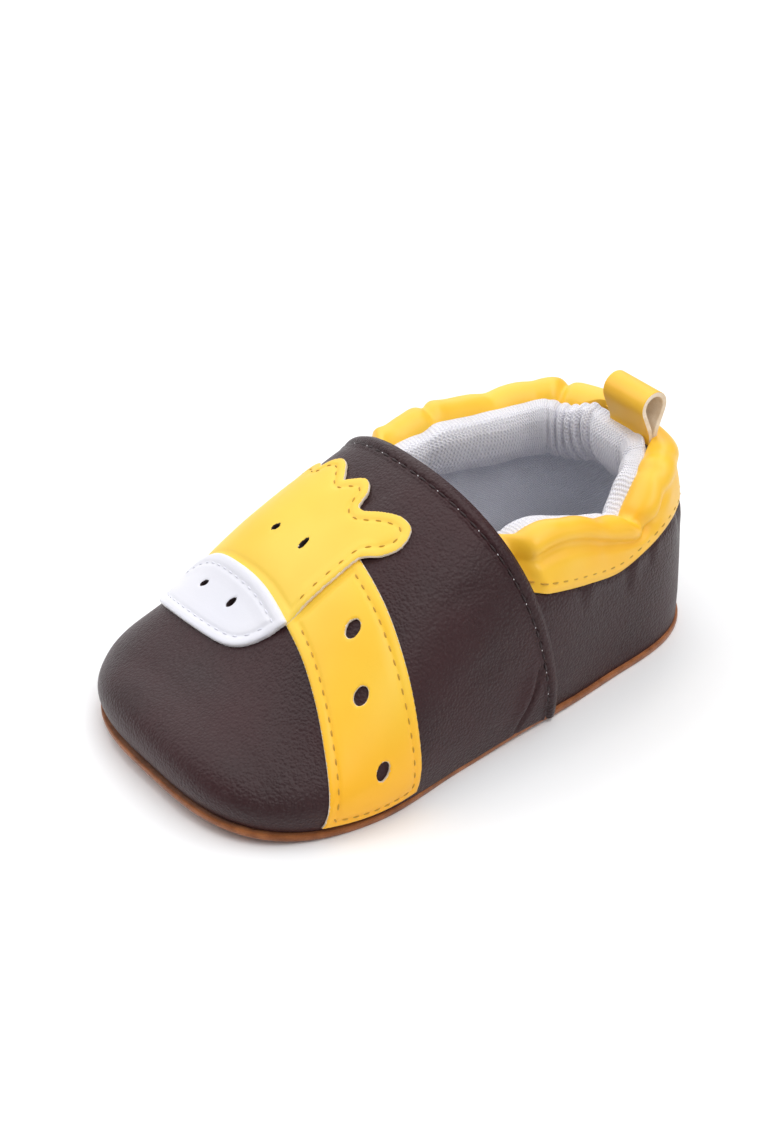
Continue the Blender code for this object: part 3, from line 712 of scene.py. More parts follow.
def build_vamp():
    turns = even_turns(240)
    rows = np.concatenate([0.80 * np.linspace(0.0, 1.0, 85)[:-1] ** 1.45, np.linspace(0.80, 1.0, 81)])
    along = rows[:, None] * throat(turns)[None, :]
    points = skin(along, turns[None, :], 0.0)
    height = points[..., 2] - floor(along)
    points[..., 2] -= foot_drop(along) * (1 - ease(height / FOOT_FADE))
    from_edge = (throat(turns)[None, :] - along) * LENGTH * HEM_LEAN
    edge_run = lengths_along(points[-1])
    between = 0.5 - 0.5 * np.cos(math.tau * edge_run / HEM_PITCH)
    relief = HEM_PROUD * ease((HEM - from_edge) / 0.0007)
    relief -= (0.00062 - 0.00026 * between[None, :]) * hump(from_edge - HEM_STITCH, 0.00034)
    relief += 0.00025 * hump(from_edge - 0.0012, 0.0008)
    relief -= 0.00035 * hump(from_edge, 0.0005)
    across = arc_lengths(points)
    for ends, width, depth in VAMP_CREASES:
        relief += crease(across, along * LENGTH, ends, width, depth)
    relief *= ease(rows[:, None] / 0.05)
    piece = grid_piece("vamp", points, (BROWN, INSIDE_CLOTH), relief, flip=True)
    thicken(piece, VAMP_WALL, EDGE_ROUNDING, inner_slot=1)
    return finish_piece(piece, "upper")


build_vamp()

# %% [markdown]
# ## The quarter
# The quarter wraps the sides and the heel, under the vamp's edge and under the collar's seam. The elastic in the
# collar draws it together, which leaves short upright puckers under the seam, deepest at the heel's corners.

# %% Quarter
# Puckers: place around the heel from 0 on the left to 1 on the right, width as a share, depth and length down
QUARTER_PUCKERS = (
    (0.16, 0.008, 0.00035, 0.0070),
    (0.24, 0.007, 0.00045, 0.0085),
    (0.28, 0.006, 0.00035, 0.0065),
    (0.36, 0.010, 0.00050, 0.0090),
    (0.44, 0.008, 0.00035, 0.0060),
    (0.52, 0.010, 0.00040, 0.0075),
    (0.61, 0.009, 0.00050, 0.0090),
    (0.68, 0.007, 0.00040, 0.0070),
    (0.76, 0.009, 0.00035, 0.0080),
    (0.86, 0.008, 0.00030, 0.0060),
)


def build_quarter():
    run = np.linspace(0.0, 1.0, 221)
    low = floor(on_outline(QUARTER_FRONT, run)[0])
    high = collar_heights(QUARTER_FRONT, run)[0] - GAP / 2
    rows = np.linspace(0.0, 1.0, 49) ** 1.2
    z = low[None, :] + rows[:, None] * (high - low)[None, :]
    points = wall(QUARTER_FRONT, run[None, :], z, -VAMP_STEP)
    rise = ease((z - low[None, :]) / FOOT_FADE)
    points[..., 2] -= foot_drop(on_outline(QUARTER_FRONT, run)[0])[None, :] * (1 - rise)
    below = high[None, :] - z
    relief = np.zeros_like(z)
    for centre, width, depth, length in QUARTER_PUCKERS:
        beside = run[None, :] - centre
        relief -= 1.4 * depth * hump(beside, width) * ease(1 - below / length)
        relief += 0.7 * depth * hump(beside - 2 * width, width) * ease(1 - below / length)
    relief += 0.0003 * np.sin(run * 21.0)[None, :] * ease(below / 0.004) * rise
    relief -= 0.0004 * hump(below, 0.0008)
    piece = grid_piece("quarter", points, (BROWN, INSIDE_CLOTH), relief)
    thicken(piece, UPPER_WALL, EDGE_ROUNDING, inner_slot=1)
    return finish_piece(piece)


build_quarter()

# %% [markdown]
# ## The collar
# A strip of yellow leather is sewn to the quarter, folded over an elastic and turned inside. The elastic gathers it
# into a soft roll with shallow scallops, and a topstitch about 2 mm above the seam holds it flat there.

# %% Where the collar lies
def tucked(along, share):
    """How far a collar piece moves in where it runs under the vamp, by its share of the band's height."""
    deep = TUCK_LOW + (TUCK_HIGH - TUCK_LOW) * share
    return deep * ease((TUCK_END - along) / (TUCK_END - TUCK_START))


def collar_ring(run, inward, height):
    """Ring around the ankle, its distance inward from the band's outer face and its height given at each run."""
    along = on_outline(BAND_FRONT, run)[0]
    seam, top = collar_heights(BAND_FRONT, run)
    straight = np.minimum(height, top - BAND_ROLL)
    share = np.clip((straight - seam) / (top - BAND_ROLL - seam), 0.0, 1.0)
    out = BAND_PROUD - VAMP_STEP - tucked(along, share) - inward
    ring = wall(BAND_FRONT, run, straight, out)
    ring[:, 2] = height
    return ring


def near_loop(run):
    """1 at the heel within the pull loop's width, falling to 0 beside it."""
    along, base, _ = on_outline(BAND_FRONT, run)
    beyond = np.abs(base[:, 0] - LOOP_CENTRE) - LOOP_WIDTH / 2 - LOOP_SIDE_ROOM
    return ease(1 - beyond / LOOP_RAMP) * (along > 1 - HEEL_ROUND_LENGTH / 2)


def lip_angle(run):
    return BAND_LIP - (BAND_LIP - BAND_LIP_AT_LOOP) * near_loop(run)


def lip_reach(run):
    return BAND_ROLL * (1 - np.cos(lip_angle(run)))


# %% Collar band
BAND_LEATHER = 0.0010
PAST_LIP = math.radians(12)
# Past the lip the band runs down inside: each row's drop and its distance inward, in metres
BAND_INSIDE = ((0.0010, 0.0001), (0.0020, 0.0000), (0.0028, -0.0004), (0.0034, -0.0010), (0.0038, -0.0018))
# Shift of the band's top by place around, in metres: it sags between the folds that the elastic draws in
TOP_RUN = (
    0.00, 0.05, 0.08, 0.11, 0.15, 0.20, 0.225, 0.24, 0.255, 0.285, 0.33, 0.50,
    0.53, 0.57, 0.61, 0.64, 0.69, 0.74, 0.79, 0.83, 0.855, 0.88, 1.00,
)
TOP_SHIFT = (
    -0.0008, -0.0022, -0.0014, 0.0000, 0.0004, 0.0000, -0.0014, -0.0024, -0.0012, 0.0003, 0.0000, 0.0000,
    0.0010, 0.0006, -0.0003, 0.0004, -0.0006, -0.0013, -0.0010, -0.0003, 0.0005, -0.0002, 0.0,
)
# Folds of the band: place around at the top and at the seam, width as a share of the run, depth
BAND_FOLDS = (
    (0.236, 0.285, 0.010, 0.0013),
    (0.300, 0.266, 0.012, 0.0005),
    (0.350, 0.356, 0.016, 0.0003),
    (0.130, 0.150, 0.020, 0.0003),
    (0.185, 0.170, 0.016, 0.0003),
    (0.520, 0.505, 0.010, 0.0005),
    (0.615, 0.590, 0.008, 0.0009),
    (0.672, 0.680, 0.014, 0.0003),
    (0.752, 0.740, 0.016, 0.0004),
    (0.856, 0.848, 0.008, 0.0009),
    (0.915, 0.925, 0.014, 0.0004),
)
BAND_SWELL = 0.22


def top_shift(run):
    """Shift of the band's top at each run, evened out."""
    shift = np.interp(run, TOP_RUN, TOP_SHIFT)
    for _ in range(12):
        shift = np.concatenate([shift[:1], (shift[:-2] + 2 * shift[1:-1] + shift[2:]) / 4, shift[-1:]])
    return shift


def band_folds(run, level):
    """Depth of the band's folds at each run and level, with a soft swell beside each one."""
    relief = np.zeros(np.broadcast_shapes(np.shape(run), np.shape(level)))
    for at_top, at_seam, width, depth in BAND_FOLDS:
        centre = at_seam + (at_top - at_seam) * np.clip(level / 0.6, 0.0, 1.0)
        relief -= depth * hump(run - centre, width)
        for beside in (-2.4 * width, 2.4 * width):
            relief += BAND_SWELL * depth * hump(run - centre + beside, 1.6 * width)
    return relief


def build_collar():
    run = np.linspace(0.0, 1.0, 281)
    seam, top = collar_heights(BAND_FRONT, run)
    shift = top_shift(run)
    rows = []
    for share in np.linspace(0.0, 1.0, 19)[:-1]:
        ring = collar_ring(run, np.zeros_like(run), seam + share * (top - BAND_ROLL - seam))
        ring[:, 2] += shift * share
        rows.append(ring)
    over = [(share, 0.0, 0.0) for share in np.linspace(0.0, 1.0, 25)]
    for share, drop, inward in over + [(1.0, *step) for step in BAND_INSIDE]:
        angle = (lip_angle(run) + PAST_LIP) * share
        height = top - BAND_ROLL + BAND_ROLL * np.sin(angle) - drop
        ring = collar_ring(run, BAND_ROLL * (1 - np.cos(angle)) + inward, height)
        ring[:, 2] += shift
        rows.append(ring)
    points = np.stack(rows)
    level = np.linspace(0.0, 1.0, len(rows))[:, None]
    roll = ease((level - 0.12) / 0.25) * (1 - 0.5 * ease((level - 0.70) / 0.25))
    relief = band_folds(run[None, :], level) * roll
    relief += 0.0006 * hump(level - 0.52, 0.14)
    near = ease((run - 0.03) / 0.05) * ease((0.27 - run) / 0.04)
    relief -= (0.0004 + 0.0006 * near[None, :]) * hump(level - 0.35, 0.06)
    relief += 0.00018 * (np.sin(run * 95.0) * np.sin(run * 37.0 + 1.0))[None, :] * hump(level - 0.25, 0.12)
    relief -= 0.0004 * hump(level, 0.03)
    inside = ease((TUCK_END + 0.01 - on_outline(BAND_FRONT, run)[0]) / 0.03)
    relief *= 1 - inside[None, :]
    piece = grid_piece("collar_band", points, (YELLOW,), relief)
    thicken(piece, BAND_LEATHER, EDGE_ROUNDING)
    return finish_piece(piece, "collar")


build_collar()

# %% [markdown]
# ## The padded lining
# Inside the band is a soft roll of white rib knit over thin foam. It bulges into the mouth of the shoe, and the
# elastic crimps it into close folds, most of all at the far corner of the heel.

# %% Padded lining
# Folds of the lining: place around, width as a share of the run, depth
LINING_FOLDS = (
    (0.06, 0.014, 0.0005),
    (0.15, 0.016, 0.0004),
    (0.24, 0.010, 0.0008),
    (0.31, 0.012, 0.0006),
    (0.37, 0.010, 0.0008),
    (0.43, 0.010, 0.0006),
    (0.520, 0.006, 0.0009),
    (0.543, 0.0055, 0.0013),
    (0.564, 0.005, 0.0014),
    (0.586, 0.0055, 0.0014),
    (0.612, 0.006, 0.0012),
    (0.640, 0.008, 0.0007),
    (0.70, 0.020, 0.0004),
    (0.80, 0.020, 0.0004),
    (0.88, 0.012, 0.0007),
    (0.94, 0.012, 0.0006),
)
# The roll's section below the lip: each point's share of the thickness inward, and of the depth down
LINING_FACE = ((0.36, 0.04), (0.75, 0.06), (1.00, 0.20), (1.04, 0.40), (0.85, 0.66), (0.20, 0.92))
LINING_BACK = ((0.30, 1.00), (0.0, 0.75), (0.0, 0.50))
LINING_BULGE = 0.0007


def loop_room(run):
    """Extra gap at the heel, between the band and the padded lining, for the pull loop's root."""
    front, back, _ = lip_over_loop()
    return (2 * LOOP_WALL + 2 * GAP + back - front) * near_loop(run)


def lip_over_loop():
    """Band's lip over the pull loop's width: its furthest forward and back places along Y, and its height."""
    run = np.linspace(0.0, 1.0, OUTLINE_SAMPLES)
    run = run[near_loop(run) == 1.0]
    top = collar_heights(BAND_FRONT, run)[1]
    lip = collar_ring(run, lip_reach(run), top)
    return lip[:, 1].min(), lip[:, 1].max(), top.max()


def build_lining():
    run = np.linspace(0.0, 1.0, 401)
    top = collar_heights(BAND_FRONT, run)[1]
    room = 0.5 * loop_room(run)
    angle = lip_angle(run)
    lip = lip_reach(run)
    under_lip = top - BAND_ROLL * (1 - np.sin(angle))
    inner = BAND_ROLL - BAND_WALL - 2 * GAP
    keys = []
    for share in (0.0, 0.45, 0.8, 1.0):
        turned = angle * share
        height = top - BAND_ROLL + inner * np.sin(turned)
        keys.append(collar_ring(run, room + BAND_ROLL - inner * np.cos(turned), height))
    for radius in (inner, BAND_ROLL):
        inward = BAND_ROLL - radius * np.cos(angle) + 2 * GAP * np.sin(angle)
        height = top - BAND_ROLL + radius * np.sin(angle) + 2 * GAP * np.cos(angle)
        keys.append(collar_ring(run, room + inward, height))
    for start, section in ((lip, LINING_FACE), (BAND_PROUD + UPPER_WALL + 2 * GAP, LINING_BACK)):
        for share, drop in section:
            keys.append(collar_ring(run, room + start + share * PAD_THICKNESS, under_lip - drop * PAD_DEPTH))
    keys = np.stack(keys + keys[:1])
    around = np.linspace(0.0, len(keys) - 1.0, 97)
    order = np.arange(len(keys))
    points = np.stack([read_columns(around, order, keys[:, i]) for i in range(len(run))], axis=1)
    points[..., 2] += top_shift(run)[None, :] * 0.8
    for _ in range(3):
        ring = points[:-1]
        ring = 0.25 * np.roll(ring, 1, axis=0) + 0.5 * ring + 0.25 * np.roll(ring, -1, axis=0)
        points = np.concatenate([ring, ring[:1]])
    shown = hump(around - 8.3, 3.2)[:, None]
    folds = sum(-depth * hump(run - centre, width) for centre, width, depth in LINING_FOLDS)
    piece = grid_piece("collar_padding", points, (RIB_KNIT,), (folds[None, :] + LINING_BULGE) * shown)
    bpy.ops.object.mode_set(mode="EDIT")
    bpy.ops.mesh.select_all(action="DESELECT")
    bpy.ops.mesh.select_non_manifold()
    bpy.ops.mesh.fill_holes(sides=0)
    bpy.ops.mesh.select_all(action="SELECT")
    bpy.ops.mesh.normals_make_consistent(inside=False)
    bpy.ops.object.mode_set(mode="OBJECT")
    finish_piece(piece, "collar_lining")
    return piece


build_lining()

# %% [markdown]
# ## Sole and insole
# Both are flat pieces with the foot's outline. Their rows run from the middle line underneath, out round the edge
# and back to the middle line on top, where the two halves meet and are merged.

# %% Sole and insole
def sole_rings(insets, heights):
    """Rings around a sole, each with its inset from the edge and its height above the ground line."""
    left, right = sole_edges((1 - np.cos(np.linspace(0.0, math.pi, 151))) / 2)
    ring = np.concatenate([left, right[-2:0:-1]])
    tangent = unit(np.roll(ring, -1, axis=0) - np.roll(ring, 1, axis=0))
    outward = np.stack([tangent[:, 1], -tangent[:, 0]], axis=-1)
    rings = []
    for inset, height in zip(insets, heights):
        moved = ring - outward * inset
        share = np.clip(moved[:, 1] / LENGTH + 0.5, 0.0, 1.0)
        rings.append(np.concatenate([moved, (ground(share) + height)[:, None]], axis=1))
    return rings


def flat_piece(name, material, insets, heights):
    """Closed flat piece through rings around its edge, filled to its middle line below and above."""
    rings = sole_rings(insets, heights)
    fills = ([], [])
    for ring, fill in zip((rings[0], rings[-1]), fills):
        middle = centre_line(np.clip(ring[:, 1] / LENGTH + 0.5, 0.0, 1.0))
        for share in np.linspace(0.0, 1.0, 13)[:-1]:
            row = ring.copy()
            row[:, 0] = middle + (ring[:, 0] - middle) * share
            fill.append(row)
    points = np.stack(fills[0] + rings + fills[1][::-1])
    points = np.concatenate([points, points[:, :1]], axis=1)
    return grid_piece(name, points, (material,))


def build_outsole():
    r = SOLE_ROUNDING
    insets = (3 * r, r / 2, 0.15 * r, 0.0, 0.0, 0.15 * r, r / 2)
    heights = (0.0, 0.0, r / 3, r, SOLE_THICKNESS - 0.6 * r, SOLE_THICKNESS - 0.2 * r, SOLE_THICKNESS)
    return finish_piece(flat_piece("sole", SUEDE, insets, heights), "outsole")


def build_insole():
    inset = SOLE_RIM + UPPER_WALL + VAMP_STEP + GAP
    low = SOLE_THICKNESS + GAP
    high = low + INSOLE_THICKNESS
    insets = (inset, inset - 0.0004, inset - 0.0004, inset, inset + 0.0010)
    heights = (low, low + 0.0004, high - 0.0010, high - 0.0003, high)
    piece = finish_piece(flat_piece("footbed", INSIDE_CLOTH, insets, heights), "insole")
    return piece


build_outsole()
build_insole()

# %% [markdown]
# ## The pull loop
# A strip of the yellow leather is folded into a teardrop, and its two ends are sewn in together at the heel. Its
# cut edges and its inner side show undyed cream leather.

# %% Pull loop
LOOP_PAST_HALF = 0.35
LOOP_NECK = 0.0016
LOOP_FLARE = 0.0003
LOOP_SHIFT = 0.0014


def build_loop():
    front, _, top = lip_over_loop()
    back = front - GAP
    stem = back - LOOP_WALL
    radius = LOOP_DEPTH / 2 - LOOP_WALL / 2
    round_height = top + LOOP_HEIGHT - LOOP_DEPTH / 2
    low = top - LOOP_ROOT
    half = LOOP_WALL / 2
    turn = np.linspace(-LOOP_PAST_HALF, math.pi + LOOP_PAST_HALF, 21)
    path = [(stem + half, low), (stem + half, top + GAP), (stem + half + LOOP_FLARE, top + LOOP_NECK)]
    path += [(stem + radius * math.cos(a), round_height + radius * math.sin(a)) for a in turn]
    path += [(stem - half - LOOP_FLARE, top + LOOP_NECK), (stem - half, top + GAP), (stem - half, low)]
    path = np.array(path)
    run = lengths_along(path)
    path = read_columns(np.linspace(0.0, run[-1], 81), run, path)
    for _ in range(6):
        path[1:-1] = 0.25 * path[:-2] + 0.5 * path[1:-1] + 0.25 * path[2:]
    width = np.linspace(-0.5, 0.5, 25) * LOOP_WIDTH
    points = np.zeros((len(path), len(width), 3))
    points[..., 0] = LOOP_CENTRE + LOOP_SHIFT + width[None, :]
    points[..., 1] = path[:, :1]
    points[..., 2] = path[:, 1:]
    piece = grid_piece("pull_tab", points, (YELLOW, CUT_EDGE), flip=True)
    thicken(piece, LOOP_WALL * 0.96, 0.00015, inner_slot=1, rim_slot=1, offset=0.0)
    return finish_piece(piece, "pull_loop")


build_loop()

# %% [markdown]
# ## The giraffe
# Three flat pieces are cut from leather and sewn to the vamp. Each is made flat: a circle with as many corners as
# its outline is set on the outline, extruded to the leather's thickness, pierced by small cutters and remeshed to
# an even skin. Only then is it laid over the vamp, so that its thickness and its holes bend with it.

# %% Outlines of the giraffe
# Each point is its distance from the instep's middle line over the leather, as a share of the ball width, and its
# place along the shoe. A point given twice is a corner.
HEAD_ACROSS = (
    0.080, 0.080, 0.106, 0.126, 0.141, 0.174, 0.200, 0.183, 0.138, 0.083, 0.029, 0.003, 0.003,
    -0.010, -0.049, -0.093, -0.112, -0.112, -0.136, -0.170, -0.203, -0.241, -0.267, -0.267,
    -0.290, -0.328, -0.365, -0.380, -0.380, -0.420, -0.471, -0.530, -0.562, -0.551, -0.507,
    -0.486, -0.486, -0.500, -0.500, -0.362, -0.203, -0.058,
)
HEAD_ALONG = (
    0.250, 0.250, 0.300, 0.335, 0.365, 0.383, 0.412, 0.440, 0.444, 0.432, 0.416, 0.418, 0.418,
    0.443, 0.456, 0.445, 0.438, 0.438, 0.451, 0.466, 0.471, 0.466, 0.452, 0.452,
    0.461, 0.464, 0.455, 0.444, 0.444, 0.434, 0.449, 0.449, 0.427, 0.400, 0.380,
    0.350, 0.310, 0.268, 0.268, 0.274, 0.270, 0.264,
)
MUZZLE_ACROSS = (
    0.080, 0.080, -0.058, -0.203, -0.362, -0.500, -0.500, -0.522, -0.478, -0.377, -0.217, -0.072, 0.000, 0.046,
)
MUZZLE_ALONG = (
    0.255, 0.255, 0.2715, 0.2795, 0.2835, 0.2675, 0.2675, 0.240, 0.208, 0.189, 0.178, 0.180, 0.195, 0.225,
)
NECK_ACROSS = (
    0.066, 0.066, 0.188, 0.314, 0.439, 0.555, 0.604, 0.604, 0.770, 0.770, 0.685, 0.575, 0.430, 0.290,
    0.130, 0.130, 0.115, 0.095,
)
NECK_ALONG = (
    0.252, 0.252, 0.235, 0.209, 0.1775, 0.1485, 0.136, 0.136, 0.300, 0.300, 0.304, 0.3125, 0.331, 0.349,
    0.3645, 0.3645, 0.335, 0.300,
)
SPOT_ACROSS = (0.255, 0.390, 0.571)
SPOT_ALONG = (0.302, 0.262, 0.241)
SPOT_RADIUS = 0.0014
FOOT_SQUEEZE = 0.96
CURVE_STEPS = 8
OUTLINE_SPACING = 0.00045


def rounded_outline(across, along):
    """Smooth closed curve through an outline's points, in metres over the flat leather."""
    points = np.stack([np.array(across) * BALL_WIDTH, np.array(along) * LENGTH], axis=-1)
    count = len(points)
    curve = []
    for i in range(count):
        before, start, end, after = (points[(i + k) % count] for k in (-1, 0, 1, 2))
        if np.allclose(start, end):
            continue
        leave = np.zeros(2) if np.allclose(before, start) else (end - before) / 2
        arrive = np.zeros(2) if np.allclose(end, after) else (after - start) / 2
        second = 3 * (end - start) - 2 * leave - arrive
        third = leave + arrive - 2 * (end - start)
        for t in np.arange(CURVE_STEPS) / CURVE_STEPS:
            curve.append(start + t * (leave + t * (second + t * third)))
    return np.array(curve)


def evenly_spaced(curve, spacing):
    """Points of a closed curve at an even spacing."""
    closed = np.concatenate([curve, curve[:1]])
    run = lengths_along(closed)
    places = np.linspace(0.0, run[-1], int(run[-1] / spacing) + 1)[:-1]
    return read_columns(places, run, closed)


HEAD = evenly_spaced(rounded_outline(HEAD_ACROSS, HEAD_ALONG), OUTLINE_SPACING)
MUZZLE = evenly_spaced(rounded_outline(MUZZLE_ACROSS, MUZZLE_ALONG), OUTLINE_SPACING)
NECK = evenly_spaced(rounded_outline(NECK_ACROSS, NECK_ALONG), OUTLINE_SPACING)
print("outline points:", len(HEAD), len(MUZZLE), len(NECK))


# %% From flat leather to the vamp
LAY_ALONG = np.linspace(0.10, 0.60, 101)
LAY_ACROSS = np.linspace(-0.058, 0.058, 233)


def lay_table():
    """Turn on the arch for each place along and each distance over the leather from its middle."""
    rows = []
    turns = np.linspace(0.0, math.pi, 721)
    for along in LAY_ALONG:
        arch = skin(np.full_like(turns, along), turns, 0.0)
        length = lengths_along(arch)
        middle = np.interp(math.pi / 2, turns, length)
        share = np.abs(LAY_ACROSS) / (middle - 2 * GAP)
        room = 1 - FOOT_SQUEEZE
        share = np.where(share > FOOT_SQUEEZE, FOOT_SQUEEZE + room * np.tanh((share - FOOT_SQUEEZE) / room), share)
        rows.append(np.interp(middle - np.copysign(share, LAY_ACROSS) * (middle - 2 * GAP), length, turns))
    return np.array(rows)


LAY = lay_table()


def table_place(values, steps):
    """Step of an even table below each value, and the share of the way to the next one."""
    place = np.clip((np.asarray(values) - steps[0]) / (steps[1] - steps[0]), 0.0, len(steps) - 1.001)
    below = place.astype(int)
    return below, place - below


def lay(across, y, out):
    """Point over the vamp for a place on flat leather, at the distance out from the vamp."""
    along = np.asarray(y) / LENGTH
    i, r = table_place(along, LAY_ALONG)
    j, c = table_place(across, LAY_ACROSS)
    turn = (1 - r) * ((1 - c) * LAY[i, j] + c * LAY[i, j + 1]) + r * ((1 - c) * LAY[i + 1, j] + c * LAY[i + 1, j + 1])
    return skin(along, turn, np.asarray(out, float))


def distance_to(curve, places):
    """Distance from each place to a closed curve."""
    ends = np.roll(curve, -1, axis=0)
    best = np.full(len(places), 1.0)
    for start, end in zip(curve, ends):
        span = end - start
        share = np.clip(((places - start) @ span) / max(span @ span, 1e-14), 0.0, 1.0)
        best = np.minimum(best, np.linalg.norm(places - start - share[:, None] * span, axis=1))
    return best


# %% Stitches
# One stitch is a stubby thread with rounded ends that dips into the leather. It is modelled once and copied along
# each line, and all the stitches of a line are one mesh.
def one_stitch(length, radius):
    bpy.ops.object.select_all(action="DESELECT")
    bpy.ops.mesh.primitive_uv_sphere_add(segments=8, ring_count=7, radius=1.0)
    model = bpy.context.object
    points = np.array([v.co for v in model.data.vertices])
    faces = [tuple(p.vertices) for p in model.data.polygons]
    bpy.data.objects.remove(model)
    along = points[:, 2]
    points = np.stack([along * length / 2, points[:, 0] * radius, points[:, 1] * radius], axis=-1)
    points[:, 2] -= radius * 1.1 * along**2
    return points, faces


def stitch_line(name, places, normals, length, radius, material):
    """Stitches centred at places, each along its line, standing a little out of the leather."""
    model, faces = one_stitch(length, radius)
    tangents = unit(np.gradient(places, axis=0))
    all_points = []
    all_faces = []
    for place, tangent, normal in zip(places, tangents, normals):
        side = unit(np.cross(normal, tangent))
        upward = np.cross(tangent, side)
        first = len(all_points) * len(model)
        all_points.append(place + model @ np.stack([tangent, side, upward]))
        all_faces += [tuple(first + k for k in face) for face in faces]
    mesh = bpy.data.meshes.new(name)
    mesh.from_pydata(np.concatenate(all_points).tolist(), [], all_faces)
    mesh.update()
    piece = bpy.data.objects.new(name, mesh)
    bpy.context.collection.objects.link(piece)
    mesh.materials.append(material)
    mesh.shade_smooth()
    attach(piece, "root")
    print(name, len(places), "stitches")
    return piece


def inset_line(curve, inset, pitch, skip=None):
    """Places inside a closed curve, an even pitch apart."""
    ahead = np.roll(curve, -1, axis=0) - np.roll(curve, 1, axis=0)
    area = np.sum(curve[:, 0] * np.roll(curve[:, 1], -1) - np.roll(curve[:, 0], -1) * curve[:, 1])
    inward = unit(np.stack([-ahead[:, 1], ahead[:, 0]], axis=-1)) * np.sign(area)
    line = curve + inward * inset
    line = line[distance_to(curve, line) > inset * 0.97]
    line = evenly_spaced(line, pitch)
    return line if skip is None else line[~skip(line)]


# %% Giraffe pieces
PATCH_STITCH = 0.0018
PATCH_PITCH = 0.0024
PATCH_SINK = 0.0001
GROOVE_DEPTH = 0.00022
GROOVE_WIDTH = 0.00040
RAISED_REACH = 0.0035


def raised_over(lower, raised, places):
    """Height added at the places where a piece lies over a lower one, falling to nothing beyond that one's edge."""
    return 0.0 if lower is None else raised * ease(1.15 - distance_to(lower, places) / RAISED_REACH)


def read_rows(items, what):
    """A mesh's coordinates, normals or centres as rows of x, y and z."""
    values = np.empty(len(items) * 3)
    items.foreach_get(what, values)
    return values.reshape(-1, 3)


def leather_patch(
    name, node, curve, thickness, holes, material, edge, voxel, lower=None, raised=0.0, cut_holes=False
):
    """Flat leather piece on an outline, with holes cut through, laid over the vamp and raised over a lower piece."""
    bpy.ops.object.select_all(action="DESELECT")
    bpy.ops.mesh.primitive_circle_add(vertices=len(curve), radius=0.01, fill_type="NGON")
    piece = bpy.context.object
    piece.name = name
    piece.data.name = name
    for each in (material, edge, BROWN_THREAD_AND_HOLE_SHADE):
        piece.data.materials.append(each)
    for vertex, (x, y) in zip(piece.data.vertices, curve):
        vertex.co = (x, y, 0.0)
    bpy.ops.object.mode_set(mode="EDIT")
    bpy.ops.mesh.select_all(action="SELECT")
    bpy.ops.mesh.extrude_region_move(TRANSFORM_OT_translate={"value": (0.0, 0.0, thickness)})
    bpy.ops.mesh.select_all(action="SELECT")
    bpy.ops.mesh.normals_make_consistent(inside=False)
    bpy.ops.object.mode_set(mode="OBJECT")
    for x, y, long, wide, turn in holes:
        bpy.ops.mesh.primitive_cylinder_add(
            vertices=24, radius=1.0, depth=4 * thickness, location=(x, y, thickness / 2),
            rotation=(0, 0, turn), scale=(long / 2, wide / 2, 1.0),
        )
        cutter = bpy.context.object
        cut = piece.modifiers.new("hole", "BOOLEAN")
        cut.operation = "DIFFERENCE"
        cut.solver = "EXACT"
        cut.object = cutter
        apply_modifiers(piece)
        bpy.data.objects.remove(cutter)
    only(piece)
    piece.data.remesh_voxel_size = voxel
    piece.data.use_remesh_preserve_volume = False
    bpy.ops.object.voxel_remesh()
    mesh = piece.data
    flat = read_rows(mesh.vertices, "co")
    normals = read_rows(mesh.polygons, "normal")
    centres = read_rows(mesh.polygons, "center")
    from_edge = distance_to(curve, flat[:, :2])
    share = np.clip(flat[:, 2] / thickness, 0.0, 1.0)
    height = flat[:, 2] - PATCH_SINK
    height -= share * GROOVE_DEPTH * hump(from_edge - PATCH_STITCH, GROOVE_WIDTH)
    height += share * 0.00010 * ease((from_edge - PATCH_STITCH) / 0.002)
    height -= share * 0.00012 * hump(from_edge, 0.00035)
    height += raised_over(lower, raised, flat[:, :2])
    laid = lay(flat[:, 0], flat[:, 1], height)
    mesh.vertices.foreach_set("co", laid.reshape(-1))
    mesh.update()
    finish_piece(piece, node)
    slots = ((np.abs(normals[:, 2]) < 0.80) & (centres[:, 2] < 0.99 * thickness)).astype(np.int32)
    # Painted shade: unless the holes show their cut edge, their walls take the dark brown thread material
    if not cut_holes:
        slots[(distance_to(curve, centres[:, :2]) > 0.0008) & (np.abs(normals[:, 2]) < 0.75)] = 2
    mesh.polygons.foreach_set("material_index", slots)
    mesh.shade_smooth()
    return piece


HEAD_EYES = ((-0.0125, 0.0405, 0.0019, 0.0010, 0.4), (-0.0031, 0.0404, 0.0021, 0.0011, 1.3))
NOSTRILS = ((-0.0199, 0.0288, 0.0022, 0.0011, 0.3), (-0.0091, 0.0281, 0.0020, 0.0014, 1.0))
SPOTS = tuple(
    (a * BALL_WIDTH, b * LENGTH, 2 * SPOT_RADIUS, 2 * SPOT_RADIUS, 0.0) for a, b in zip(SPOT_ACROSS, SPOT_ALONG)
)
HEAD_THICKNESS = 0.0010
MUZZLE_THICKNESS = 0.0012
NECK_THICKNESS = 0.0008


# Where one piece lies over another: the head over the neck at the jaw, and the muzzle over the head
def there_and_back(points):
    line = np.array(points) * (BALL_WIDTH, LENGTH)
    return np.concatenate([line, line[-2:0:-1]])


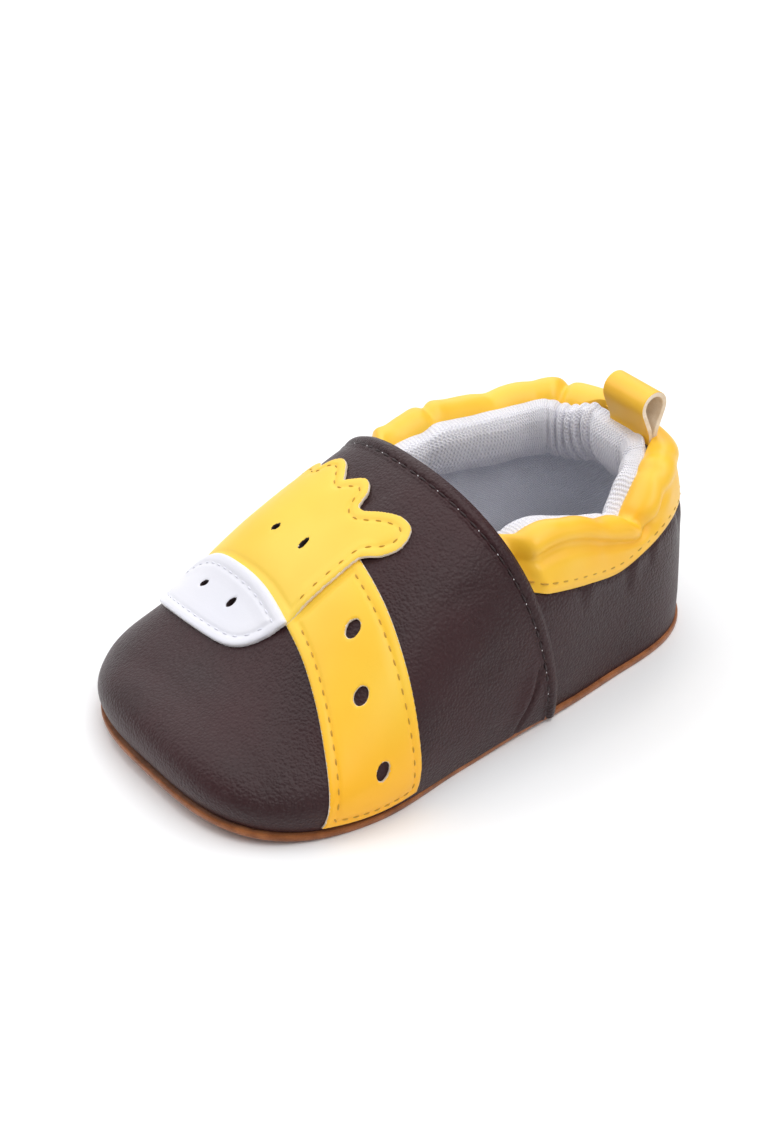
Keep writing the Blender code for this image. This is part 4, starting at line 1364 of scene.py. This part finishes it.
JAW = there_and_back([(0.098, 0.290), (0.112, 0.312), (0.126, 0.335), (0.141, 0.365)])
MUZZLE_TOP = there_and_back([(0.080, 0.255), (-0.058, 0.2715), (-0.203, 0.2795), (-0.362, 0.2835), (-0.500, 0.2675)])
HEAD_RAISED = 0.0007
MUZZLE_RAISED = 0.0005
leather_patch(
    "giraffe_head_patch", "giraffe_head", HEAD, HEAD_THICKNESS, HEAD_EYES, GIRAFFE_YELLOW, CUT_EDGE, 0.00030,
    JAW, HEAD_RAISED,
)
leather_patch(
    "giraffe_muzzle_patch", "giraffe_muzzle", MUZZLE, MUZZLE_THICKNESS, NOSTRILS, WHITE_LEATHER, WHITE_EDGE, 0.00025,
    MUZZLE_TOP, MUZZLE_RAISED,
)
leather_patch(
    "giraffe_neck_patch", "giraffe_neck", NECK, NECK_THICKNESS, SPOTS, NECK_YELLOW_AND_PAINTED_SHADE, CUT_EDGE, 0.00028,
    cut_holes=True,
)

# %% Stitches on the giraffe
PATCH_THREAD = 0.00017
PATCH_STITCH_LENGTH = 0.0014
PATCH_STITCH_SINK = 0.00012


def off_neck(line):
    """Places where the neck's stitches are left out: at its foot, beside the head and at its upper end."""
    return (line[:, 0] > 0.0505) | (distance_to(HEAD, line) < 0.0016) | (line[:, 0] < 0.0085)


def patch_stitches(name, curve, thickness, material, skip=None, lower=None, raised=0.0):
    line = inset_line(curve, PATCH_STITCH, PATCH_PITCH, skip)
    height = thickness - PATCH_SINK - PATCH_STITCH_SINK + raised_over(lower, raised, line)
    places = lay(line[:, 0], line[:, 1], height)
    outward = unit(lay(line[:, 0], line[:, 1], 0.002) - lay(line[:, 0], line[:, 1], 0.0))
    return stitch_line(name, places, outward, PATCH_STITCH_LENGTH, PATCH_THREAD, material)


patch_stitches(
    "head_stitches", HEAD, HEAD_THICKNESS, GOLD_THREAD,
    lambda line: distance_to(MUZZLE, line) < 0.0022, JAW, HEAD_RAISED,
)
patch_stitches(
    "muzzle_stitches", MUZZLE, MUZZLE_THICKNESS, WHITE_THREAD, None, MUZZLE_TOP, MUZZLE_RAISED
)
patch_stitches("neck_stitches", NECK, NECK_THICKNESS, GOLD_THREAD, off_neck)

# %% Stitches on the hem and the collar
HEM_SINK = 0.00030
COLLAR_STITCH = 0.0019
COLLAR_PITCH = 0.0026


def hem_stitches():
    turns = even_turns(400)[8:-8]
    edge = skin(throat(turns), turns, 0.0)
    run = lengths_along(edge)
    turns = np.interp(np.arange(HEM_PITCH / 2, run[-1], HEM_PITCH), run, turns)
    along = throat(turns) - HEM_STITCH / (HEM_LEAN * LENGTH)
    places = skin(along, turns, HEM_PROUD - HEM_SINK)
    normals = unit(skin(along, turns, 0.001) - skin(along, turns, 0.0))
    stitch_line("hem_stitches", places, normals, 0.0022, 0.00022, BROWN_THREAD_AND_HOLE_SHADE)
    between = (places[1:] + places[:-1]) / 2
    stitch_line("hem_needle_points", between[::2], normals[:-1:2], 0.0004, 0.00010, WHITE_EDGE)


def collar_stitches():
    run = np.linspace(0.0, 1.0, 1201)
    height = collar_heights(BAND_FRONT, run)[0] + COLLAR_STITCH
    ring = collar_ring(run, np.full_like(run, 0.00005), height)
    outer = collar_ring(run, np.full_like(run, -0.001), height)
    length = lengths_along(ring)
    at = np.arange(0.001, length[-1], COLLAR_PITCH)
    normals = unit(read_columns(at, length, outer - ring))
    places = read_columns(at, length, ring)
    stitch_line("collar_stitches", places, normals, 0.0018, 0.00020, GOLD_THREAD)


hem_stitches()
collar_stitches()

# %% [markdown]
# ## Floor, light and camera
# The shoe stands on a plain pale floor under soft studio light. Seen from the camera, a large key comes from the left,
# one light from behind, one from overhead and a weaker fill from the right. A smaller one near the camera is aimed
# into the shoe's mouth, and the sky is pale. The camera was fitted to the sole's outline and the silhouette in the
# photograph.

# %% Floor
def build_floor():
    bpy.ops.object.select_all(action="DESELECT")
    bpy.ops.mesh.primitive_plane_add(size=6.0, location=(0.0, 0.0, 0.0))
    ground_plane = bpy.context.object
    ground_plane.name = "floor"
    paper = {"Base Color": linear("#fbfbfb"), "Specular IOR Level": 0.1}
    ground_plane.data.materials.append(new_material("pale_studio_paper", 0.9, paper)[0])


build_floor()


# %% Light
def area_light(name, location, target, size, power):
    lamp = bpy.data.lights.new(name, "AREA")
    lamp.shape = "SQUARE"
    lamp.size = size
    lamp.energy = power
    holder = bpy.data.objects.new(name, lamp)
    holder.location = location
    holder.rotation_euler = (Vector(target) - Vector(location)).to_track_quat("-Z", "Y").to_euler()
    bpy.context.collection.objects.link(holder)


SHOE = (0.0, 0.0, 0.02)
MOUTH = (0.0, 0.02, 0.02)
area_light("key", (-0.62, -0.50, 0.72), SHOE, 0.85, 4.5)
area_light("back", (-0.62, 0.34, 0.52), SHOE, 0.80, 2.8)
area_light("fill", (0.50, 0.45, 0.65), SHOE, 0.80, 1.5)
area_light("mouth", (0.50, -0.10, 0.72), MOUTH, 0.50, 2.2)
area_light("top", (0.00, 0.12, 0.90), SHOE, 0.70, 3.2)
sky = bpy.data.worlds.new("studio")
sky.use_nodes = True
backdrop = sky.node_tree.nodes["Background"].inputs
backdrop["Color"].default_value = linear("#f6f8ff")
backdrop["Strength"].default_value = 0.30
bpy.context.scene.world = sky
bpy.context.scene.view_settings.view_transform = "Standard"

# %% Camera
AZIMUTH = math.radians(53.58)
ELEVATION = math.radians(33.892)
ROLL = math.radians(1.384)
DISTANCE = 0.450
TARGET = Vector((-0.004670, 0.000187, 0.022))
FOCAL_PIXELS = 2311.0
IMAGE_HEIGHT = 1132.0


def build_camera():
    level = math.cos(ELEVATION)
    back = Vector((math.sin(AZIMUTH) * level, -math.cos(AZIMUTH) * level, math.sin(ELEVATION)))
    right = Vector((math.cos(AZIMUTH), math.sin(AZIMUTH), 0.0))
    up = back.cross(right)
    lens = bpy.data.cameras.new("camera")
    lens.sensor_width = 36.0
    lens.lens = 36.0 * FOCAL_PIXELS / IMAGE_HEIGHT
    lens.clip_start = 0.01
    camera = bpy.data.objects.new("camera", lens)
    x_axis = right * math.cos(ROLL) - up * math.sin(ROLL)
    y_axis = right * math.sin(ROLL) + up * math.cos(ROLL)
    turned = Matrix((x_axis, y_axis, back)).transposed().to_4x4()
    turned.translation = TARGET + back * DISTANCE
    camera.matrix_world = turned
    bpy.context.collection.objects.link(camera)
    bpy.context.scene.camera = camera


build_camera()

# %% Bring the scene up to date, and the end
bpy.context.view_layer.update()
